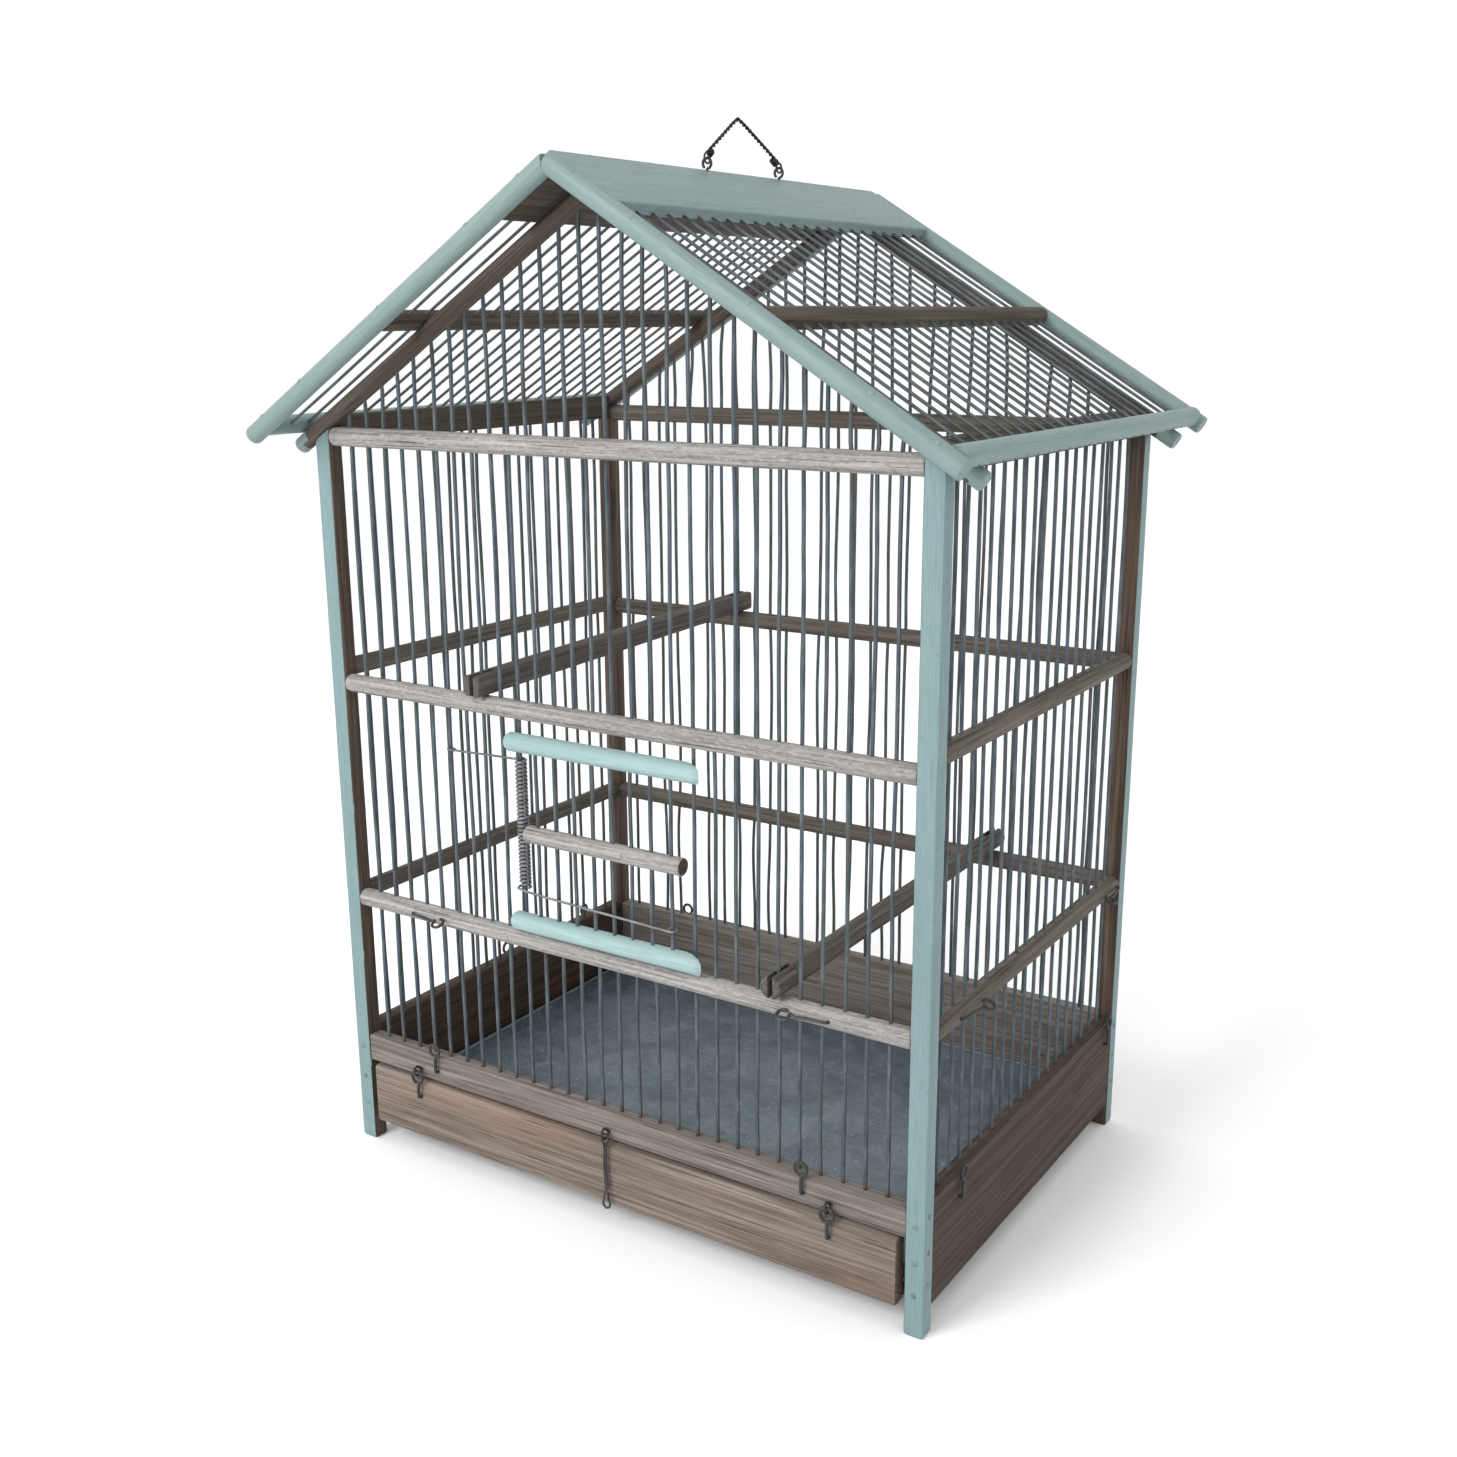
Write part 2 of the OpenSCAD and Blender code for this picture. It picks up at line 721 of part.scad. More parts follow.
module handle_wire() {
    foot_z = handle_eye_z + 2 * bail_ring_r;
    feet = [for (y = handle_eye_y) [0, y, foot_z]];
    color(DARK) {
        for (y = handle_eye_y)
            translate([0, y, handle_eye_z + bail_ring_r]) rotate([0, 90, 0])
                wire_ring(bail_ring_r, handle_wire_d);
        for (f = feet) rod(f, handle_apex, handle_wire_d + 0.6);
        joint_ball(handle_apex, handle_wire_d + 0.6);
    }
}

// ---- feeder stations ----

// The peg of a screw eye that goes into a board's face; turn is the face's direction
module eye_shank(p, turn, d) {
    foot = 67;
    translate([p[0], p[1], foot]) rotate([0, 0, turn]) rotate([-90, 0, 0])
        translate([0, 0, -MARGIN - 1.4]) cylinder(h = 7 + MARGIN + 1.4, d = d);
}

// A screw eye on a board's face, its ring level with the board's upper edge
module feeder_eye(p, turn) {
    foot = 67;
    out = 2.4;
    ring_z = station_eye_z;
    translate([p[0], p[1], 0]) rotate([0, 0, turn]) {
        translate([0, -out, ring_z]) rotate([90, 0, 0]) wire_ring(ring_r - 0.4, eye_wire_d);
        rod([0, -out, foot], [0, -out, ring_z - ring_r + 0.4], eye_wire_d);
        joint_ball([0, -out, foot], eye_wire_d);
        rod([0, -out, foot], [0, 6.4, foot], eye_wire_d);
    }
}

module feeder_eyes() {
    color(DARK) {
        for (st = front_stations)
            feeder_eye([st[2], -cage_d / 2 + 0.5], 0);
        for (st = right_stations)
            feeder_eye([cage_w / 2 - 0.5, st[2]], 90);
        for (st = left_stations)
            feeder_eye([-cage_w / 2 + 0.5, st[2]], -90);
        feeder_eye([back_station[2], cage_d / 2 - 0.5], 180);
    }
}

// An arm in the frame of its rail: the peg's axis is Y, the rail's centre is the origin,
// and the ring lies off the rail's outer side, at -Y
module feeder_arm(dir) {
    y = -rail_d / 2 - arm_gap - arm_wire_d / 2;
    rod([0, -rail_d / 2 + arm_peg, 0], [0, y - 1.3, 0], arm_wire_d);
    translate([0, y, 0]) rotate([0, 0, -dir * arm_slant]) {
        rod([0, 0, 0], [dir * (arm_len - arm_ring_r), 0, 0], arm_wire_d - 0.2);
        translate([dir * arm_len, 0, 0]) rotate([arm_tilt, 0, 0]) wire_ring(arm_ring_r, arm_wire_d);
    }
}

module feeder_arm_front_left() {
    color(DARK) translate([front_stations[0][0], -wall_y, low_rail_z]) feeder_arm(front_stations[0][1]);
}

module feeder_arm_front_right() {
    color(DARK) translate([front_stations[1][0], -wall_y, low_rail_z]) feeder_arm(front_stations[1][1]);
}

module right_arm(st) {
    color(DARK) translate([wall_x, st[0], side_low_rail_z]) rotate([0, 0, 90]) feeder_arm(st[1]);
}

module left_arm(st) {
    color(DARK) translate([-wall_x, st[0], side_low_rail_z]) rotate([0, 0, -90]) feeder_arm(-st[1]);
}

module feeder_arm_right_front() { right_arm(right_stations[0]); }
module feeder_arm_right_back() { right_arm(right_stations[1]); }
module feeder_arm_left_front() { left_arm(left_stations[0]); }
module feeder_arm_left_back() { left_arm(left_stations[1]); }

module feeder_arm_back() {
    color(DARK) translate([back_station[0], wall_y, low_rail_z + 2]) rotate([0, 0, 180])
        feeder_arm(-back_station[1]);
}

// ---- nails ----

// Round nail heads on the posts' outer faces, over the ends of the boards
module frame_nails() {
    head_d = 3.4;
    head_t = 0.5;
    heights = [26, 46, 68];
    color(DARK) {
        for (sx = [-1, 1], sy = [-1, 1], z = heights) {
            translate([sx * wall_x, sy * cage_d / 2, z]) rotate([sy * -90, 0, 0])
                cylinder(h = head_t, d = head_d);
            translate([sx * cage_w / 2, sy * wall_y, z + 6]) rotate([0, sx * 90, 0])
                cylinder(h = head_t, d = head_d);
        }
    }
}

post_front_left();
post_front_right();
post_back_left();
post_back_right();
front_top_rail();
front_mid_rail();
front_low_rail();
back_rails();
left_rails();
right_rails();
left_top_plate();
right_top_plate();
front_board();
left_board();
right_board();
back_board();
tray_runners();
tray();
flap_board();
flap_hinge_eyes();
hinge_staples();
flap_pull_wire();
front_wires();
back_wires();
left_wires();
right_wires();
roof_wires_left();
roof_wires_right();
rafter_front_left();
rafter_front_right();
back_rafters();
barge_front_left();
barge_front_right();
back_barges();
left_eave_rod();
right_eave_rod();
left_purlin();
right_purlin();
left_ridge_board();
right_ridge_board();
door_top_batten();
door_bottom_batten();
door_grip_bar();
door_wires();
door_spring_coil();
door_spring_leg();
upper_perch();
lower_perch();
handle_eyes();
handle_wire();
feeder_eyes();
frame_nails();
feeder_arm_front_left();
feeder_arm_front_right();
feeder_arm_right_front();
feeder_arm_right_back();
feeder_arm_left_front();
feeder_arm_left_back();
feeder_arm_back();
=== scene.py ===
import math
import random

import bpy
from mathutils import Matrix, Vector, noise


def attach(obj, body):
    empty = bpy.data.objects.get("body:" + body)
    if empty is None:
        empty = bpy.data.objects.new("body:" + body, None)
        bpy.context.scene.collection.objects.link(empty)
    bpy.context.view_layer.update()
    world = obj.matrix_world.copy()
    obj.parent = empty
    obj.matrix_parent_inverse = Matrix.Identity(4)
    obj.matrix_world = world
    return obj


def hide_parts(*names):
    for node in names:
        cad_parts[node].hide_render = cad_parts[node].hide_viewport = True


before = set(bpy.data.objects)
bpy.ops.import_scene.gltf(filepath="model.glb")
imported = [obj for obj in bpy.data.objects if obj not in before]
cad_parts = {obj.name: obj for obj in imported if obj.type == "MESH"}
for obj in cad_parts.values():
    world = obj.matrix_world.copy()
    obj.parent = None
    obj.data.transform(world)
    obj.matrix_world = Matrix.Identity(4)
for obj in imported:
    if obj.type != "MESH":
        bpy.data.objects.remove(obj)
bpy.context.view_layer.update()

# ---- sizes in millimetres, as in part.scad ----
MM = 0.001
CAGE_W, CAGE_D = 430.0, 297.0
POST_W, POST_D, POST_BLANK = 12.0, 11.0, 480.0
IN_X, IN_Y = CAGE_W / 2 - POST_W, CAGE_D / 2 - POST_D
WALL_X, WALL_Y = CAGE_W / 2 - POST_W / 2, CAGE_D / 2 - POST_D / 2
WIRES_X, WIRES_Y, ROOF_WIRES = 28, 18, 23
PITCH_X, PITCH_Y = 2 * IN_X / (WIRES_X + 1), 2 * IN_Y / (WIRES_Y + 1)
WIRE_R, ROOF_WIRE_R, FITTING_R = 1.2, 0.97, 1.05
DOWEL_D = 12.0
LOW_Z, MID_Z, TOP_Z = 176.0, 322.0, 478.0
SIDE_LOW_Z, SIDE_MID_Z = 178.0, 331.0
BACK_LOW_Z, BACK_MID_Z = LOW_Z + 2, MID_Z + 7
BOARD_T, BOARD_H, BOARD_Z = 10.0, 66.0, 49.0
BOARD_X, BOARD_Y = CAGE_W / 2 - 0.5 - BOARD_T / 2, CAGE_D / 2 - 0.5 - BOARD_T / 2
FRONT_WIRE_FOOT, WIRE_FOOT = 71.0, 75.0
RIDGE_Z, SLOPE = 625.0, math.radians(31.5)
BARGE_Y, BARGE_R, BARGE_END_X = CAGE_D / 2 + 28, 5.75, 238.0
RAFTER_N, RAFTER_R, RAFTER_END_X = -9.5, 5.5, 233.0
EAVE_X, EAVE_N, PURLIN_X = 231.0, 2.0, 127.0
RIDGE_LOW_N, RIDGE_TOP_N, RIDGE_W = -2.2, 5.3, 48.0
RIDGE_GAP = 0.02
DOOR_WIRES = range(10, 18)
DOOR_Y = -WALL_Y - 3
DOOR_TOP_Z, DOOR_LOW_Z, DOOR_BAR_Z = 302.5, LOW_Z + 12.4, 246.0
FLAP_Y, FLAP_AXIS_Y, FLAP_AXIS_Z = -CAGE_D / 2 + 4, -CAGE_D / 2 + 0.5 - 3 - 1.2, 65.0
STAPLE_X = 156.0
SIDES, ENDS = ((-1, "left"), (1, "right")), ((-1, "front"), (1, "back"))


def wire_x(i):
    return -IN_X + PITCH_X * (i + 1)


def wire_y(j):
    return -IN_Y + PITCH_Y * (j + 1)


HINGE_X, STOP_X = wire_x(DOOR_WIRES[0] - 1), wire_x(DOOR_WIRES[-1] + 1)


def span_x(half, y, z):
    """The two ends of a line from left to right."""
    return (-half, y, z), (half, y, z)


def span_y(x, half, z):
    """The two ends of a line from front to back."""
    return (x, -half, z), (x, half, z)


def on_slope(side, s, y, n):
    """A point of a roof slope: s runs down the slope from the apex, n points out of it."""
    x = s * math.cos(SLOPE) + n * math.sin(SLOPE)
    return Vector((side * x, y, RIDGE_Z - s * math.sin(SLOPE) + n * math.cos(SLOPE)))


def slope_line(side, x, half, n):
    """The two ends of a level line on a slope, at x from the middle where n is 0."""
    s = x / math.cos(SLOPE)
    return on_slope(side, s, -half, n), on_slope(side, s, half, n)


def slope_z(x, n):
    """The height, at x, of the slanting line that runs n out of the slope."""
    return RIDGE_Z - abs(x) * math.tan(SLOPE) + n / math.cos(SLOPE)


def wave(x, seed):
    """Smooth noise along a line, from -1 to 1."""
    return noise.noise(Vector((x, seed * 3.17, seed * 1.31)))


def polar(radius, degrees):
    """The two coordinates of a point on a circle."""
    a = math.radians(degrees)
    return radius * math.cos(a), radius * math.sin(a)


# ---- mesh building ----

class Build:
    """Collects rings of points into one mesh.

    Each point carries its place in the wood, along the grain and across it, and whether it is on an edge.
    """

    def __init__(self):
        self.verts, self.faces, self.grain, self.edge = [], [], [], []

    def ring(self, points, grain, edge):
        self.verts.extend(points)
        self.grain.extend(grain)
        self.edge.extend(edge)

    def skin(self, base, n, rings, closed=False, capped=True):
        """Joins rings of n points each. The first ring starts at point number base."""
        last = rings if closed else rings - 1
        for k in range(last):
            a, b = base + k * n, base + ((k + 1) % rings) * n
            for i in range(n):
                j = (i + 1) % n
                self.faces.append((a + i, a + j, b + j, b + i))
        if capped and not closed:
            self.faces.append(tuple(base + n - 1 - i for i in range(n)))
            self.faces.append(tuple(base + (rings - 1) * n + i for i in range(n)))

    def piece(self, name, material, slot, body, *nodes, second=None, where=None):
        """Makes the object. second is the material of the faces that where picks by centre and normal."""
        mesh = bpy.data.meshes.new(name)
        mesh.from_pydata([tuple(v * MM for v in p) for p in self.verts], [], self.faces)
        mesh.validate()
        grain = mesh.attributes.new("grain", "FLOAT_VECTOR", "POINT")
        grain.data.foreach_set("vector", [v * MM for g in self.grain for v in g])
        edge = mesh.attributes.new("edge", "FLOAT", "POINT")
        edge.data.foreach_set("value", self.edge)
        mesh.polygons.foreach_set("use_smooth", [True] * len(mesh.polygons))
        mesh.set_sharp_from_angle(angle=math.radians(40))
        mesh.materials.append(material)
        if second:
            mesh.materials.append(second)
            for f in mesh.polygons:
                f.material_index = 1 if where(f.center / MM, f.normal) else 0
        obj = bpy.data.objects.new(name, mesh)
        bpy.context.scene.collection.objects.link(obj)
        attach(obj, body)
        if nodes:
            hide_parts(*nodes)


def round_section(r, n, seed, rough):
    """A circle with the slight flats that a plane leaves on a dowel. It has no corners to wear."""
    out = []
    for i in range(n):
        x, y = polar(1, 360 * i / n)
        k = 1 - rough * (0.5 + 0.5 * noise.noise(Vector((x * 1.6, y * 1.6, seed))))
        out.append((r * k * x, r * k * y, 0.0))
    return out


def block_section(w, h, r):
    """A rectangle with rounded corners. The third number is 1 on the corners."""
    steps = 3
    out = []
    for k, (cx, cy) in enumerate(((1, 1), (-1, 1), (-1, -1), (1, -1))):
        for i in range(steps + 1):
            x, y = polar(r, 90 * (k + i / steps))
            out.append((cx * (w / 2 - r) + x, cy * (h / 2 - r) + y, 1.0))
        # one point in the middle of the next side, so wear at the corners has somewhere to end
        nx, ny = ((0, 1), (-1, 0), (0, -1), (1, 0))[k]
        out.append((nx * w / 2, ny * h / 2, 0.0))
    return out


def grain_shift(seed):
    """Where a piece's grain starts, so that no two pieces are alike."""
    rnd = random.Random(seed)
    return [rnd.uniform(-900, 900) for _ in range(3)]


def bar(b, p, q, across, section, seed, step=7.0, ends=1.2, wear=0.1, end_shrink=0.72):
    """A straight piece from p to q, worn at its corners and rounded over the last ends mm.

    across is the direction of the section's first axis.
    """
    p, q = Vector(p), Vector(q)
    axis = (q - p).normalized()
    u = Vector(across).normalized()
    v = axis.cross(u)
    length = (q - p).length
    count = max(2, int(length / step))
    tip = [0.0, ends * 0.35, ends]
    stations = tip + [length * k / count for k in range(1, count)] + [length - s for s in tip]
    stations = sorted(s for s in stations if 0 <= s <= length)
    base = len(b.verts)
    shift = grain_shift(seed)
    half = max(max(abs(c[0]), abs(c[1])) for c in section)
    for s in stations:
        near = min(s, length - s)
        k = 1.0
        if near < ends:
            k = 1 - (1 - end_shrink) * (ends / half) * (1 - near / ends) ** 2 * 1.6
        drift = 0.12 * wave(s / 37.0, seed)
        points, grain, edge = [], [], []
        for i, (a, c, corner) in enumerate(section):
            worn = wear * corner * (0.5 + 0.5 * wave(s / 6.0, seed + i * 0.37))
            worn += 0.05 * abs(wave(s / 4.0, seed + i))
            f = k * (1 - worn / half)
            points.append(p + axis * s + u * (a * f + drift) + v * (c * f))
            grain.append((s + shift[0], a + shift[1], c + shift[2]))
            edge.append(max(corner, 1.0 if near < ends else 0.0))
        b.ring(points, grain, edge)
    b.skin(base, len(section), len(stations))


def dowel(b, p, q, d, seed, across=(0, 0, 1), **look):
    bar(b, p, q, across, round_section(d / 2, 20, seed, 0.03), seed, wear=0.0, **look)


def spline(points, steps):
    """A smooth curve through the points."""
    pts = [Vector(p) for p in points]
    pts = [pts[0] * 2 - pts[1]] + pts + [pts[-1] * 2 - pts[-2]]
    out = []
    for i in range(1, len(pts) - 2):
        a, b, c, d = pts[i - 1:i + 3]
        for k in range(steps):
            t = k / steps
            square, cube = 2 * a - 5 * b + 4 * c - d, 3 * b - a - 3 * c + d
            out.append(0.5 * (2 * b + (c - a) * t + square * t * t + cube * t ** 3))
    out.append(pts[-2])
    return out


def tube(b, points, r, seed, n=8, closed=False):
    """A round wire along the points. Unless it is closed, its two ends are a little thinner."""
    pts = [Vector(p) for p in points]
    count = len(pts)
    tangents = []
    for k in range(count):
        if closed:
            t = pts[(k + 1) % count] - pts[k - 1]
        else:
            t = pts[min(k + 1, count - 1)] - pts[max(k - 1, 0)]
        tangents.append(t.normalized())
    u = tangents[0].orthogonal().normalized()
    base = len(b.verts)
    shift = grain_shift(seed)
    s = 0.0
    for k, (p, t) in enumerate(zip(pts, tangents)):
        if k:
            s += (p - pts[k - 1]).length
            u = (u - t * u.dot(t)).normalized()
        v = t.cross(u)
        end = not closed and k in (0, count - 1)
        circle = [polar(r * 0.7 if end else r, 360 * i / n) for i in range(n)]
        b.ring([p + u * x + v * y for x, y in circle],
               [(s + shift[0], x + shift[1], y + shift[2]) for x, y in circle], [0.0] * n)
    b.skin(base, n, count, closed=closed)


# ---- materials ----

class Shader:
    """A small writer of node materials."""

    MIX_FACTOR, MIX_A, MIX_B, MIX_COLOR = 0, 6, 7, 2

    def __init__(self, name):
        self.mat = bpy.data.materials.new(name)
        self.mat.use_nodes = True
        self.tree = self.mat.node_tree
        self.bsdf = self.tree.nodes["Principled BSDF"]

    def put(self, socket, value):
        if isinstance(value, bpy.types.NodeSocket):
            self.tree.links.new(value, socket)
        else:
            socket.default_value = value

    def node(self, kind, inputs=None, **props):
        n = self.tree.nodes.new(kind)
        for key, value in props.items():
            setattr(n, key, value)
        for key, value in (inputs or {}).items():
            self.put(n.inputs[key], value)
        return n

    def scaled(self, vector, scale):
        return self.node("ShaderNodeVectorMath", {0: vector, 1: scale}, operation="MULTIPLY").outputs[0]

    def grain(self, scale=(1, 1, 1)):
        attr = self.node("ShaderNodeAttribute", attribute_name="grain", attribute_type="GEOMETRY")
        return self.scaled(attr.outputs["Vector"], scale)

    def place(self, scale=(1, 1, 1)):
        return self.scaled(self.node("ShaderNodeTexCoord").outputs["Object"], scale)

    def edge(self):
        attr = self.node("ShaderNodeAttribute", attribute_name="edge", attribute_type="GEOMETRY")
        return attr.outputs["Fac"]

    def noise(self, vector, scale, detail, rough, distortion=0.0):
        inputs = {"Vector": vector, "Scale": scale, "Detail": detail, "Roughness": rough}
        inputs["Distortion"] = distortion
        return self.node("ShaderNodeTexNoise", inputs).outputs["Fac"]

    def fibres(self, along, across, detail, rough, distortion=0.0):
        """Noise drawn out along the grain: along and across say how often it changes in a metre."""
        return self.noise(self.grain((along, across, across)), 1, detail, rough, distortion)

    def math(self, op, a, b=0.0):
        return self.node("ShaderNodeMath", {0: a, 1: b}, operation=op).outputs[0]

    def times(self, a, b):
        return self.math("MULTIPLY", a, b)

    def plus(self, a, b):
        return self.math("ADD", a, b)

    def ramp(self, fac, stops):
        n = self.node("ShaderNodeValToRGB", {"Fac": fac})
        e = n.color_ramp.elements
        while len(e) < len(stops):
            e.new(0.5)
        for k, (position, color) in enumerate(stops):
            e[k].position = position
            e[k].color = (*color, 1)
        return n.outputs["Color"]

    def step(self, fac, low, high):
        inputs = {"Value": fac, "From Min": low, "From Max": high, "To Min": 0.0, "To Max": 1.0}
        return self.node("ShaderNodeMapRange", inputs, clamp=True).outputs["Result"]

    def mix(self, fac, a, b):
        n = self.node("ShaderNodeMix", data_type="RGBA", blend_type="MIX")
        self.put(n.inputs[self.MIX_FACTOR], fac)
        self.put(n.inputs[self.MIX_A], (*a, 1) if isinstance(a, tuple) else a)
        self.put(n.inputs[self.MIX_B], (*b, 1) if isinstance(b, tuple) else b)
        return n.outputs[self.MIX_COLOR]

    def lay(self, base, color, mask, low, high, amount):
        """Lays a color over base, fading in as mask goes from low to high, as strongly as amount."""
        return self.mix(self.times(self.step(mask, low, high), amount), base, color)

    def bump(self, height, strength, distance):
        inputs = {"Height": height, "Strength": strength, "Distance": distance}
        return self.node("ShaderNodeBump", inputs).outputs["Normal"]

    def finish(self, color, rough, normal=None, metallic=0.0, specular=0.35):
        self.put(self.bsdf.inputs["Base Color"], color)
        self.put(self.bsdf.inputs["Roughness"], rough)
        self.bsdf.inputs["Metallic"].default_value = metallic
        self.bsdf.inputs["Specular IOR Level"].default_value = specular
        if normal is not None:
            self.put(self.bsdf.inputs["Normal"], normal)
        return self.mat


def shade(color, *factors):
    """The color times one factor, or times a factor for each channel."""
    return tuple(min(1.0, c * f) for c, f in zip(color, factors * (3 // len(factors))))


def paint(name, color, chips, saw=0.0):
    """Old oil paint, laid on with a brush and rubbed through at the edges. More chips means less wear."""
    dirt, wood = (0.10, 0.12, 0.11), (0.06, 0.045, 0.035)
    m = Shader(name)
    streak = m.fibres(45, 1300, 4, 0.6)
    coarse = m.fibres(9, 90, 3, 0.5)
    patch = m.fibres(260, 420, 5, 0.7)
    light, dark = shade(color, 1.13), shade(color, 0.84)
    base = m.ramp(streak, [(0.30, dark), (0.5, color), (0.72, light)])
    base = m.mix(m.step(coarse, 0.45, 0.75), base, shade(color, 0.86, 0.88, 0.88))
    base = m.lay(base, dirt, patch, 0.60, 0.78, 0.45)
    worn = m.plus(m.times(m.edge(), 0.16), patch)
    chip = m.step(worn, chips + 0.13, chips + 0.16)
    base = m.mix(chip, base, wood)
    height = m.plus(m.times(streak, 0.7), m.times(patch, 0.5))
    height = m.math("SUBTRACT", height, m.times(chip, 0.9))
    if saw:
        # slanting marks of the saw, still to be seen through the paint
        axes = m.node("ShaderNodeSeparateXYZ", {0: m.grain()}).outputs
        slant = m.plus(m.times(axes["X"], 700.0), m.times(axes["Y"], 620.0))
        lines = m.node("ShaderNodeCombineXYZ", {0: slant, 1: m.times(axes["X"], 30.0), 2: 0.0})
        marks = m.noise(lines.outputs[0], 1, 2, 0.5)
        base = m.lay(base, light, marks, 0.52, 0.66, saw * 0.6)
        base = m.lay(base, dark, marks, 0.46, 0.34, saw * 0.5)
        height = m.plus(height, m.times(marks, saw * 2.0))
    rough = m.plus(m.times(patch, 0.25), 0.38)
    return m.finish(base, rough, m.bump(height, 0.45, 0.0005))


def bare_wood(name, light, mid, dark, ring, grey, greyness, ring_scale=160.0, mottle=0.0, red=0.0):
    """Unpainted, weathered wood: long fibres, growth rings and a grey bloom."""
    m = Shader(name)
    wander = m.fibres(6, 60, 3, 0.5)
    fibre = m.fibres(38, 2100, 5, 0.65)
    streak = m.fibres(9, 420, 4, 0.6)
    rings = m.fibres(2.2, ring_scale, 2, 0.45, 0.35)
    line = m.step(m.math("SINE", m.times(rings, 46.0)), -0.2, 1.0)
    base = m.ramp(streak, [(0.28, dark), (0.5, mid), (0.72, light)])
    base = m.mix(m.times(line, ring), base, dark)
    base = m.lay(base, grey, fibre, 0.42, 0.70, greyness)
    base = m.lay(base, dark, wander, 0.5, 0.8, 0.5)
    if mottle:
        flake = m.fibres(230, 620, 4, 0.7)
        base = m.lay(base, light, flake, 0.53, 0.66, mottle)
        base = m.lay(base, dark, flake, 0.44, 0.32, mottle)
    if red:
        base = m.lay(base, shade(mid, 1.30, 1.05, 0.88), m.fibres(9, 34, 2, 0.5), 0.48, 0.66, red)
    crack = m.step(m.fibres(14, 900, 2, 0.4), 0.66, 0.72)
    base = m.mix(m.times(crack, 0.75), base, shade(dark, 0.3))
    height = m.plus(m.times(fibre, 0.9), m.times(line, -0.35))
    height = m.math("SUBTRACT", height, m.times(crack, 0.8))
    rough = m.plus(m.times(fibre, 0.2), 0.62)
    return m.finish(base, rough, m.bump(height, 0.6, 0.0006), specular=0.25)


def metal(name, color, spot, rough=0.45, metallic=0.55, rust=0.0, rust_z=None):
    """Dull drawn wire or iron with oxide spots, rustier towards its foot where rust_z is given."""
    m = Shader(name)
    fine = m.fibres(500, 900, 5, 0.65)
    long = m.fibres(60, 260, 3, 0.6)
    base = m.ramp(long, [(0.3, shade(color, 0.62)), (0.52, color), (0.75, shade(color, 1.6))])
    base = m.lay(base, spot, fine, 0.62, 0.70, 0.7)
    if rust:
        brown = m.ramp(fine, [(0.35, (0.045, 0.022, 0.012)), (0.65, (0.16, 0.075, 0.03))])
        amount = m.times(m.step(m.fibres(22, 150, 4, 0.7), 0.60, 0.74), rust)
        if rust_z:
            z = m.node("ShaderNodeSeparateXYZ", {0: m.place()}).outputs["Z"]
            amount = m.math("MAXIMUM", amount, m.times(m.step(z, rust_z + 0.007, rust_z), 0.8))
        base = m.mix(amount, base, brown)
    return m.finish(base, m.plus(m.times(fine, 0.3), rough), m.bump(fine, 0.35, 0.0002), metallic, 0.5)


def zinc(name):
    """Old zinc sheet: cloudy blue-grey with pale bloom, scratches, rust-brown litter and white specks."""
    m = Shader(name)
    cloud = m.noise(m.place(), 26, 6, 0.62, 0.8)
    small = m.noise(m.place(), 150, 5, 0.7)
    litter = m.noise(m.place((1.0, 1.6, 1.0)), 260, 3, 0.6, 0.5)
    speck = m.noise(m.place(), 420, 2, 0.5)
    where = m.noise(m.place(), 14, 3, 0.6)
    scratch = m.noise(m.place((40, 900, 60)), 1, 3, 0.6, 0.6)
    crystal = m.node("ShaderNodeTexVoronoi", {"Vector": m.place(), "Scale": 120.0}).outputs["Color"]
    crystal = m.node("ShaderNodeSeparateColor", {0: crystal}).outputs[0]
    dark, mid, light = (0.070, 0.096, 0.110), (0.112, 0.152, 0.176), (0.185, 0.235, 0.262)
    base = m.ramp(cloud, [(0.3, dark), (0.5, mid), (0.7, light)])
    base = m.mix(m.times(crystal, 0.30), base, (0.150, 0.198, 0.225))
    base = m.lay(base, (0.25, 0.285, 0.295), small, 0.56, 0.68, 0.5)
    base = m.lay(base, (0.28, 0.335, 0.36), scratch, 0.64, 0.71, 0.5)
    brown = m.times(m.step(litter, 0.60, 0.66), m.step(where, 0.42, 0.60))
    base = m.mix(m.times(brown, 0.75), base, (0.085, 0.062, 0.040))
    base = m.lay(base, (0.46, 0.48, 0.47), speck, 0.70, 0.74, 0.8)
    height = m.plus(cloud, m.times(small, 0.3))
    return m.finish(base, m.plus(m.times(small, 0.35), 0.36), m.bump(height, 0.4, 0.0008), 0.25, 0.5)


POST_PAINT = paint("post_paint", (0.170, 0.257, 0.264), chips=0.70, saw=0.5)
ROOF_PAINT = paint("roof_paint", (0.185, 0.258, 0.252), chips=0.68)
MINT_PAINT = paint("batten_paint", (0.285, 0.405, 0.405), chips=0.72)
DOWEL = bare_wood("weathered_dowel", (0.415, 0.412, 0.41), (0.262, 0.248, 0.233), (0.105, 0.086, 0.070),
                  ring=0.32, grey=(0.46, 0.46, 0.465), greyness=0.6, mottle=0.6)
# the side and back rails: less grey than the front rails, and darkened about twofold as painted shade for the
# shaded sides of the cage
SHADED_SIDE_DOWEL = bare_wood("side_dowel_painted_shade", (0.19, 0.165, 0.14), (0.115, 0.095, 0.075), (0.045, 0.033, 0.025),
                       ring=0.35, grey=(0.22, 0.21, 0.20), greyness=0.35)
PINE = bare_wood("pine_board", (0.250, 0.228, 0.210), (0.165, 0.143, 0.127), (0.070, 0.050, 0.040),
                 ring=0.6, grey=(0.28, 0.272, 0.262), greyness=0.42, ring_scale=210.0)
FLAP_PINE = bare_wood("flap_pine", (0.275, 0.235, 0.205), (0.185, 0.145, 0.120), (0.080, 0.055, 0.042),
                      ring=0.6, grey=(0.29, 0.27, 0.25), greyness=0.40, ring_scale=170.0, red=0.4)
